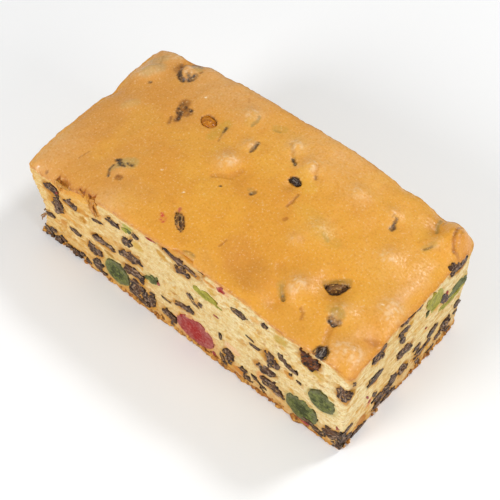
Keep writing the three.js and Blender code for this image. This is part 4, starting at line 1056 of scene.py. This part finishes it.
# Glace fruit: sugar-soaked flesh, fibrous where cut, with a dark core and a duller rim.
for material, core, flesh, rim_code, strand, rough, ior in (
    (red_cherry, "#980200", "#983a36", "#a45e56", "#c47268", 0.5, 1.33),
    (green_cherry, "#323a0a", "#62662e", "#68664a", "#868f3e", 0.55, 1.33),
    (lime_fruit, "#827c1a", "#a09828", "#a89f44", "#b0ac48", 0.5, 1.33),
    (amber_sultana, "#a05a04", "#c07408", "#7e4808", "#e2a236", 0.18, 1.5),
):
    shader = material.node_tree.nodes["Principled BSDF"]
    shader.inputs["Roughness"].default_value = rough
    shader.inputs["IOR"].default_value = ior
    shader.inputs["Subsurface Weight"].default_value = 0.06
    shader.inputs["Subsurface Radius"].default_value = (1.0, 0.8, 0.4)
    shader.inputs["Subsurface Scale"].default_value = MILLIMETRE
    coords = add_node(material, "TexCoord")
    at_place = {"Vector": coords.outputs["Object"]}
    rim = add_node(material, "Attribute", attribute_name="rim")
    # Fibres of the flesh, drawn 1.4 mm apart so that they show, in clumps of 4 mm.
    clumps = add_node(
        material, "TexNoise", {"Scale": 1 / 0.004, "Detail": 5, "Roughness": 0.7, "Distortion": 1.2},
        at_place,
    )
    fibres = add_node(material, "TexNoise", {"Scale": 1 / 0.0014, "Detail": 4, "Roughness": 0.75}, at_place)
    wander = add_node(material, "MapRange", {"To Min": -1.0, "To Max": 1.0}, {"Value": clumps.outputs["Fac"]})
    ring = add_node(material, "Math", {}, {0: rim.outputs["Fac"], 1: wander.outputs[0]}, operation="ADD")
    out_share = add_node(
        material, "MapRange", {"From Min": 0.72, "From Max": 0.9, "To Max": 0.8}, {"Value": ring.outputs[0]}
    )
    in_share = add_node(
        material, "MapRange", {"From Min": 0.44, "From Max": 0.56},
        {"Value": ring.outputs[0]},
    )
    inner = add_node(
        material, "Mix", {6: (*linear(core), 1), 7: (*linear(flesh), 1)},
        {0: in_share.outputs[0]}, data_type="RGBA",
    )
    outer = add_node(
        material, "Mix", {7: (*linear(rim_code), 1)},
        {0: out_share.outputs[0], 6: inner.outputs[2]}, data_type="RGBA",
    )
    stringy = add_node(
        material, "MapRange", {"From Min": 0.52, "From Max": 0.6, "To Max": 0.7},
        {"Value": fibres.outputs["Fac"]},
    )
    darkened = add_node(
        material, "Mix", {7: (*linear(core), 1)},
        {0: stringy.outputs[0], 6: outer.outputs[2]}, data_type="RGBA",
    )
    pale = add_node(
        material, "MapRange", {"From Min": 0.46, "From Max": 0.36, "To Max": 0.7},
        {"Value": fibres.outputs["Fac"]},
    )
    stranded = add_node(
        material, "Mix", {7: (*linear(strand), 1)},
        {0: pale.outputs[0], 6: darkened.outputs[2]}, data_type="RGBA",
    )
    bump = add_node(
        material, "Bump", {"Strength": 0.6, "Distance": 0.0005},
        {"Height": fibres.outputs["Fac"]},
    )
    material.node_tree.links.new(stranded.outputs[2], shader.inputs["Base Color"])
    material.node_tree.links.new(bump.outputs[0], shader.inputs["Normal"])

FRUIT_FINISH = {"red": red_cherry, "green": green_cherry, "lime": lime_fruit}
OTHER_FINISH = {
    "top_raisin_4": amber_sultana, "front_raisin_14": open_raisin, "top_raisin_2": dark_raisin,
    "top_raisin_5": dark_raisin,
}
# Cut near their skin, these show no core.
CORELESS = (
    "front_cherry_green_3", "front_chip_green", "front_chip_red", "right_cherry_green", "right_cherry_lime",
    "top_raisin_4",
)
FRUIT_SLOTS = {red_cherry: "red", green_cherry: "green", lime_fruit: "lime", amber_sultana: "sultana"}


def own_axes(points, outward):
    """Where points of a fruit lie along it and across it, as seen from outside, from its middle."""
    aside = np.cross(outward, (0, 0, 1)) if abs(outward[2]) < 0.5 else np.array((1.0, 0, 0))
    upward = np.cross(outward, aside)
    flat = np.stack((points @ aside, points @ upward), axis=1)
    flat = flat - (flat.min(axis=0) + flat.max(axis=0)) / 2
    _, turned = np.linalg.eigh(np.cov(flat.T))
    return flat @ turned[:, ::-1]


def store_flesh(mesh, flat, deep, seed, least=0.0):
    """Keeps how near its outline a fruit's points lie, and where they lie along its fibres."""
    rim = np.clip(np.hypot(*(flat / abs(flat).max(axis=0)).T), 0, 1)
    store(mesh, "rim", np.maximum(rim, least))
    store(mesh, "fibre", np.column_stack((flat[:, 0] * 0.35, flat[:, 1], deep)) + seed * 7.3)


def below_skin_at(points):
    """How high fruit of the cuts may reach: under the skin, or into it where the corner has split."""
    split = smooth_step(20, 24, points[:, 1]) * smooth_step(38, 34, points[:, 1]) * (points[:, 0] > 78)
    return skin_height(points[:, 0], points[:, 1], SKIN_DROP) - 1.1 + 2.6 * split


for number, name in enumerate(cut_fruit + top_fruit):
    face = name.split("_")[0]
    outward = np.array((*faces_to[face], 0)) if face != "top" else np.array((0, 0, 1))
    piece = bpy.data.objects.new(name + "_flesh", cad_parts[name].data.copy())
    bpy.context.scene.collection.objects.link(piece)
    select_only(piece)
    bpy.ops.object.mode_set(mode="EDIT")
    bpy.ops.mesh.select_all(action="SELECT")
    bpy.ops.mesh.remove_doubles(threshold=1e-6)
    bpy.ops.object.mode_set(mode="OBJECT")
    remesh = piece.modifiers.new("flesh", "REMESH")
    remesh.mode = "VOXEL"
    remesh.voxel_size = FRUIT_VOXEL * MILLIMETRE
    bpy.ops.object.modifier_apply(modifier=remesh.name)
    ease = piece.modifiers.new("ease", "SMOOTH")
    ease.factor = 0.5
    ease.iterations = 3
    bpy.ops.object.modifier_apply(modifier=ease.name)
    mesh = piece.data
    points = points_of(mesh)
    normals = np.empty(len(points) * 3)
    mesh.vertices.foreach_get("normal", normals)
    normals = normals.reshape(-1, 3)
    wrinkle = WRINKLES[name.split("_")[1]]
    wrinkle = {"top": TOP_WRINKLE, "right": wrinkle * 1.1}.get(face, wrinkle)
    swell = wrinkle * grain(points, (3.2, 3.2, 1.8), number)
    swell += 0.8 * wrinkle * grain(points, (1.9, 1.9, 1.1), number + 0.5)
    shown = np.clip(normals @ outward, 0, 1)
    points = points + normals * (swell * (1 - 0.75 * shown))[:, None] - outward * (0.15 * shown)[:, None]
    if face != "top":
        points[:, 2] = np.minimum(points[:, 2], below_skin_at(points))
    move_points(mesh, points)
    store_flesh(mesh, own_axes(points, outward), points @ outward, number, 0.55 if name in CORELESS else 0)
    bpy.ops.object.shade_smooth()
    finish = whole_raisin if face == "top" else cut_raisin
    for key, value in FRUIT_FINISH.items():
        if key in name:
            finish = value
    finish = OTHER_FINISH.get(name, finish)
    place_piece(piece, finish, FRUIT_SLOTS.get(finish, "raisin"), name)

# ---- Small raisins -----------------------------------------------------------------------------
# Raisins that the knife only nicked, smaller than a berry where they show. They sink in the batter,
# so they crowd in its lower third and along the base.

# Face, place along it, height, width, thickness and turn.
SMALL_RAISINS = (
    ("front", -61.3, 19.5, 6.5, 3.2, 0), ("front", -49.3, 6.4, 5.5, 7.5, 0), ("front", -45, 39.8, 6, 1.8, 15),
    ("front", -36, 46.6, 7.5, 3.2, 0), ("front", -23, 48, 3, 3.5, 0), ("front", -28.3, 40.2, 6.5, 4.6, 60),
    ("front", 32.6, 46, 7.5, 4, -8), ("front", 45, 50.3, 3, 3, 0), ("front", 54.4, 36.4, 5, 3, -40),
    ("front", 58.4, 34.2, 5.5, 2.6, -15), ("front", 74.5, 2.9, 8, 4.2, 12), ("front", 7.5, 32.5, 8, 2.8, -45),
    ("front", 11.8, 32.8, 2.6, 3, 0), ("front", 36.8, 3.6, 4.5, 4.5, 0), ("front", 40.6, 31, 5, 2.4, 0),
    ("front", 38, 34.6, 4.5, 1.2, -20), ("front", 77, 0.9, 6, 2.4, 0), ("front", 24, 4.5, 2.4, 7, 20),
    ("front", -77.5, 18.4, 5, 3, 25), ("front", -81, 5, 5, 4, -30), ("front", -77.4, 7.4, 4.5, 3, 20),
    ("front", -74.6, 2.6, 3.4, 4, 10), ("front", -71, 6, 3.6, 2.6, -30), ("front", -67.6, 3.4, 3, 3, 0),
    ("front", -63.2, 2.6, 5.5, 4, -10), ("front", -59.2, 5, 3.6, 2.4, 30), ("front", -55.6, 3.4, 4, 3, 15),
    ("front", 22.4, 20.4, 2, 4, 10), ("front", 34.6, 7.4, 4.5, 2.4, 20), ("front", 41, 7.6, 4, 1.8, -20),
    ("front", 44.6, 2.6, 2.6, 3, 0), ("front", 53.6, 2, 2.6, 2.6, 0), ("front", 69.6, 4.6, 7, 3, -14),
    ("front", 63, 28.4, 2.2, 1.2, -20), ("front", 45, 5.6, 4, 1.4, -20), ("front", -38.6, 26.8, 4, 3, 0),
    ("front", -16.4, 14.6, 3, 2, 30), ("front", -16.6, 10.4, 3.4, 5, -20), ("front", -5, 3, 3, 2, 0),
    ("front", -7.6, 18.4, 5, 1.5, -10), ("front", -46.6, 2.4, 4, 2, 0), ("front", 84.6, 4.4, 3, 6, 0),
    ("front", 81.6, 2, 6, 2.6, 10), ("front", 27.4, 5.6, 2.4, 2.4, 0), ("front", 13, 56, 2.6, 1, 0),
    ("front", -26.6, 5, 7, 4, -10), ("front", -21.6, 3, 6, 3, 10), ("front", 58.6, 29.6, 1.6, 1.2, 0),
    ("right", -6, 39.8, 3.2, 6, 20), ("right", -23, 33.2, 9, 4.4, 10), ("right", 22.8, 36.4, 3.6, 9, 30),
    ("right", 7.5, 18.6, 4.5, 3, 0), ("right", 18.8, 18, 6.5, 5, 0), ("right", 36.3, 18, 4.5, 5, 0),
    ("right", 24.6, 7.6, 5, 4.6, 0), ("right", -18.6, 12.6, 5, 5, 30), ("right", -41, 8.6, 6, 12, 20),
    ("right", -37.6, 13.4, 5, 3.4, 0), ("right", -36, 5, 4, 5, 20), ("right", -30, 1.8, 9, 2.8, 0),
    ("right", -8, 13.6, 5.4, 7, 25), ("right", -9.4, 3, 9, 3, 0), ("right", 11, 3.6, 3.4, 7.4, 30),
    ("right", -17.6, 5.4, 6, 4, 20), ("right", -5.6, 46.6, 6.4, 3, -30), ("right", -9, 47.4, 2, 2.4, 0),
    ("right", 1, 25.6, 4, 2.6, -20), ("right", 9, 14, 2.6, 3.6, 0), ("right", 16.4, 12.4, 4, 2.6, 0),
    ("right", 32.4, 52.6, 4.6, 6, 30), ("right", 24.4, 55.4, 3, 6, 40), ("right", -37.6, 47.6, 1.8, 3.6, 20),
    ("right", -7.4, 44.2, 1.8, 3, 30), ("right", 2.6, 52.6, 3, 2.4, 0), ("right", -21, 18.4, 2.4, 4, 40),
    ("right", 36.6, 12, 3, 2.4, 0), ("right", 20, 3, 5, 2, 0), ("right", 33, 3.4, 4, 2.2, 0),
)
HIDDEN_RAISINS = 30

# Those of the hidden cuts are spread by rule: twice as many on the back as at the left end.
small = list(SMALL_RAISINS)
for i in range(HIDDEN_RAISINS):
    step = spread_out(i)
    face, span = (("back", 154), ("left", 68))[i % 3 // 2]
    size = (4 + 4 * step[2], 2.6 + 2 * step[1], 60 * step[2] - 30)
    small.append((face, (step[0] - 0.5) * span, 3 + 40 * step[1] ** 1.5, *size))

bpy.ops.object.select_all(action="DESELECT")
bpy.ops.mesh.primitive_ico_sphere_add(subdivisions=4, radius=1)
pattern = bpy.context.object
ball = raw_points(pattern.data)


def set_in_cut(name, face, at, rise, wide, tall, turn, deep, proud, wrinkle, seed):
    """A copy of the pattern as a wrinkled piece in a cut, sliced flat just proud of the crumb."""
    swell = 1 + wrinkle * grain(ball * 3 + seed * 9.1, 1.5, seed) + 0.6 * wrinkle * grain(ball * 3, 0.7, seed)
    shape = ball * swell[:, None]
    swing = radians(turn)
    away = shape[:, 0] * wide / 2
    up = shape[:, 1] * tall / 2
    out = shape[:, 2] * deep
    out = np.minimum(out, proud + 0.14 * grain(ball * 4, 0.7, seed + 3))
    side = np.array((*faces_to[face], 0))
    place = np.zeros_like(ball)
    place[:, along_face[face]] = at + away * cos(swing) - up * sin(swing)
    place[:, 2] = rise + away * sin(swing) + up * cos(swing)
    face_x = left_end(np.array((rise,)))[0] + 0.5 if face == "left" else LENGTH / 2
    base = {"front": -WIDTH / 2, "back": WIDTH / 2, "right": LENGTH / 2, "left": face_x}[face]
    place[:, 1 - along_face[face]] = base + out * side[1 - along_face[face]]
    place[:, 2] = np.minimum(place[:, 2], below_skin_at(place))
    place[:, 2] = np.maximum(place[:, 2], 0.05)
    place[:, 0] = np.clip(place[:, 0], -LENGTH / 2 - 1, LENGTH / 2 + 0.4)
    place[:, 1] = np.clip(place[:, 1], -WIDTH / 2 - 0.4, WIDTH / 2 + 0.4)
    bpy.ops.object.select_all(action="DESELECT")
    piece = bpy.data.objects.new(name, pattern.data.copy())
    bpy.context.scene.collection.objects.link(piece)
    move_points(piece.data, place)
    return piece


parts = []
for i, (face, at, rise, wide, tall, turn) in enumerate(small):
    part = set_in_cut(
        "nicked_raisin", face, at, rise, wide, tall, turn, deep=2.2, proud=0.42, wrinkle=0.5, seed=i + 1
    )
    store_flesh(part.data, ball[:, :2] * (wide / 2, tall / 2), ball[:, 2] * 2, i + 60)
    parts.append(part)
raisins = join_pieces("small_raisins", parts)
place_piece(raisins, cut_raisin, "cake", "cake")

# Their juice has stained the crumb round them golden brown, least at the front right.
spots = points_of(crumb.data)
flat = np.empty(len(spots) * 4)
crumb.data.attributes["tint"].data.foreach_get("color", flat)
stained = flat.reshape(-1, 4)
wander = 0.3 * grain(spots, 2.4, 71)
for face, at, rise, wide, tall, turn in small:
    away = from_spot(spots, face, at, rise, wide / 2 + 1, tall / 2 + 0.8, turn)
    reach = (WIDTH if along_face[face] == 0 else LENGTH) / 2
    on_face = spots @ np.array((*faces_to[face], 0)) > reach - 3
    share = on_face * smooth_step(1.2, 0.8, away + wander)
    juice = 0.25 if face == "front" and at > 15 else 0.55
    paint(stained[:, :3], juice * share, "#ba7c28")
crumb.data.attributes["tint"].data.foreach_set("color", stained.ravel())

# ---- Fruit scraps ------------------------------------------------------------------------------
# Slivers of red and green cherry and of lime fruit that the knife left in the cuts.

SCRAPS = {
    "red": (
        ("front", -13.6, 53.6, 5.5, 1.3, 6), ("front", 66, 1.2, 7, 3.6, 0),
        ("front", 84, 11.6, 1.6, 1.8, 0), ("front", 18.6, 3.4, 2, 2.6, 0),
        ("front", -70, 38.6, 1.2, 1.6, 0), ("front", 82.6, 15.4, 1.0, 1.8, 10),
        ("front", -11.6, 25.4, 1.4, 1.4, 0), ("front", 20.4, 32.6, 2.6, 0.9, 0),
        ("front", 0.4, 14, 1.4, 2, 0),
        ("right", -26.2, 22.8, 1.2, 4, 20), ("right", 23.8, 39.6, 1.4, 3, 20), ("right", 12, 27.6, 1.4, 1, 0),
        ("right", -24.4, 17.4, 1.6, 2, 0), ("back", 8, 40, 4, 2, 10), ("left", 24, 34, 3, 2, 0),
    ),
    "green": (
        ("front", -12.4, 28.6, 1.2, 3.6, -15), ("front", -18.6, 24, 2, 2.4, 0),
        ("front", -26.6, 48.4, 3, 2.6, 0),
        ("right", 38.4, 32.6, 2.4, 4, 0), ("right", 10.6, 39, 2, 3, 0), ("back", 30, 38, 5, 3, 0),
        ("back", -70, 12, 4, 3, 20), ("left", -28, 24, 4, 2.6, 0),
    ),
    "lime": (
        ("front", 21.4, 40.2, 4, 1.3, -8), ("front", -28.6, 47.6, 3.4, 2.6, 0),
        ("right", 30, 29.4, 14, 3.4, 4),
        ("right", 22.4, 31, 4, 3, 20), ("right", 16.6, 38.4, 7, 3, 10), ("right", 9.8, 47, 3, 5, 0),
        ("back", 52, 41, 6, 3, -10), ("back", -30, 27, 4, 3, 0), ("left", 2, 20, 4, 3, 0),
    ),
}
for kind, scraps in SCRAPS.items():
    parts = []
    for i, (face, at, rise, wide, tall, turn) in enumerate(scraps):
        part = set_in_cut(
            kind + "_scrap", face, at, rise, wide, tall, turn, deep=1.6, proud=0.3, wrinkle=0.45, seed=i + 40
        )
        store_flesh(part.data, ball[:, :2] * (wide / 2, tall / 2), ball[:, 2], i, 0.55)
        parts.append(part)
    scrap = join_pieces(kind + "_fruit_scraps", parts)
    place_piece(scrap, FRUIT_FINISH[kind], "cake", "cake")
bpy.data.objects.remove(pattern)

# ---- Loose crumbs ------------------------------------------------------------------------------
# Bits of browned crust that broke off the base edge and lie against it, and scorched black ones at
# the broken left end. Each is an irregular lump that touches the crust or what the slice stands on.

# Places round the base that may hold a crumb, and the step that picks among them.
CRUMB_PLACES = 430
GOLDEN_STEP = 0.6180
# Place in plan, size, how tall, and whether it is scorched.
LUMPS = (
    (-84.6, -40.6, 2.8, 2.2, 0), (-86.2, -39.8, 1.7, 1.2, 0), (-83.0, -40.8, 2.2, 1.6, 1),
    (-81.4, -40.2, 3.2, 4.4, 1), (-79.4, -40.8, 2.4, 3.0, 1), (-80.2, -39.2, 2.6, 6.0, 1),
    (-77.0, -40.6, 2.0, 1.6, 1), (-74.8, -40.6, 2.2, 2.4, 1), (-72.6, -40.6, 1.5, 1.2, 0),
    (-70.4, -40.2, 2.2, 1.8, 1), (-67.6, -40.4, 1.6, 1.6, 0), (-64.2, -40.8, 3.0, 2.4, 1),
    (-61.6, -40.6, 2.0, 1.6, 1), (-57.8, -40.8, 2.4, 1.6, 0), (-53.4, -41.0, 2.0, 1.4, 0),
    (43.6, -41.8, 2.4, 2.2, 0), (45.6, -41.9, 1.8, 1.4, 0), (53.4, -41.8, 2.0, 2.0, 0),
)


def crumb_lump(x, y, wide, tall, seed):
    """An irregular lump of 80 faces that stands at a place in plan."""
    bpy.ops.object.select_all(action="DESELECT")
    bpy.ops.mesh.primitive_ico_sphere_add(subdivisions=2, radius=1)
    lump = bpy.context.object
    shape = raw_points(lump.data)
    shape = shape * (1 + 0.5 * grain(shape * 2 + seed, 1.1, seed))[:, None]
    shape = shape * np.array((wide / 2, wide / 2.3, tall / 2)) + np.array((x, y, 0))
    shape[:, 2] += 0.02 - shape[:, 2].min()
    move_points(lump.data, shape)
    return lump


loose = []
scorched = []
for i, (x, y, wide, tall, dark) in enumerate(LUMPS):
    (scorched if dark else loose).append(crumb_lump(x, y, wide, tall, i + 1))
# The rest lie in clusters round the base, fewest by the right cut, and none where the tear is.
outline, outward = cut_outline(CRUMB_PLACES)
for i, (spot, away) in enumerate(zip(outline, outward)):
    pick = i * GOLDEN_STEP % 1
    sparse = 0.25 if spot[0] > 80 else 0.15 if spot[1] < -38 else -0.1
    clustered = grain(np.array([(*spot, 0)]), 6, 50)[0] > sparse
    if pick > 0.5 or not clustered or (spot[0] < -55 and spot[1] < -35):
        continue
    x, y = spot + away * (0.2 + 0.8 * pick)
    loose.append(crumb_lump(x, y, 1.0 + 1.6 * pick, 1.0 + 2.2 * spread_out(i)[0], i + 30))
crumbs = join_pieces("crust_crumbs", loose)
place_piece(crumbs, crusty, "cake", "cake")

# Scorched crust: almost black and dry, with brown patches of 1.4 mm.
burnt = new_material("scorched_crust")
shader = burnt.node_tree.nodes["Principled BSDF"]
shader.inputs["Roughness"].default_value = 0.6
coords = add_node(burnt, "TexCoord")
char = add_node(
    burnt, "TexNoise", {"Scale": 1 / 0.0014, "Detail": 4, "Roughness": 0.7},
    {"Vector": coords.outputs["Object"]},
)
share = add_node(burnt, "MapRange", {"From Min": 0.44, "From Max": 0.6}, {"Value": char.outputs["Fac"]})
charred = add_node(
    burnt, "Mix", {6: (*linear("#26160b"), 1), 7: (*linear("#8f5c22"), 1)},
    {0: share.outputs[0]}, data_type="RGBA",
)
bump = add_node(burnt, "Bump", {"Strength": 0.8, "Distance": 0.0006}, {"Height": char.outputs["Fac"]})
burnt.node_tree.links.new(charred.outputs[2], shader.inputs["Base Color"])
burnt.node_tree.links.new(bump.outputs[0], shader.inputs["Normal"])
bits = join_pieces("scorched_bits", scorched)
place_piece(bits, burnt, "cake", "cake")

# ---- Stage, light and camera -------------------------------------------------------------------
# A plain pale table under soft studio light, seen from above the front right corner.

# Where the camera stands, and in degrees its turn, how steeply it looks down, and its lean.
CAMERA_PLACE = (191.85, -224.55, 405.42)
CAMERA_TURN = 40.021
CAMERA_FALL = 52.689
CAMERA_ROLL = 0.618

bpy.ops.object.select_all(action="DESELECT")
bpy.ops.mesh.primitive_plane_add(size=4, location=(0, 0, 0))
table = bpy.context.object
table.name = "pale_table"
white = new_material("pale_table_top")
white.node_tree.nodes["Principled BSDF"].inputs["Base Color"].default_value = (0.965, 0.98, 1.0, 1)
white.node_tree.nodes["Principled BSDF"].inputs["Roughness"].default_value = 0.9
table.data.materials.append(white)

world = bpy.data.worlds.new("studio")
bpy.context.scene.world = world
world.use_nodes = True
world.node_tree.nodes["Background"].inputs["Color"].default_value = (1, 0.975, 0.93, 1)
world.node_tree.nodes["Background"].inputs["Strength"].default_value = 0.44
bpy.context.scene.view_settings.view_transform = "Standard"

for name, place, size, power in (
    ("key", (-0.25, -0.9, 0.55), 0.5, 6),
    ("back_sheen", (0.3, 0.59, 0.87), 0.2, 3.6),
    ("side", (0.95, -0.05, 0.45), 0.5, 3.4),
):
    lamp = bpy.data.objects.new(name, bpy.data.lights.new(name, "AREA"))
    lamp.data.shape = "DISK"
    lamp.data.size = size
    lamp.data.energy = power
    lamp.location = place
    lamp.rotation_euler = (Vector((0, 0, 0.03)) - lamp.location).to_track_quat("-Z", "Y").to_euler()
    bpy.context.scene.collection.objects.link(lamp)

camera = bpy.data.objects.new("camera", bpy.data.cameras.new("camera"))
bpy.context.scene.collection.objects.link(camera)
camera.data.sensor_width = 36
camera.data.lens = 81.36
swing = Matrix.Rotation(radians(CAMERA_TURN), 4, "Z") @ Matrix.Rotation(radians(90 - CAMERA_FALL), 4, "X")
swing = swing @ Matrix.Rotation(radians(CAMERA_ROLL), 4, "Z")
camera.matrix_world = Matrix.Translation(Vector(CAMERA_PLACE) * MILLIMETRE) @ swing
camera.data.clip_start = 0.01
bpy.context.scene.camera = camera
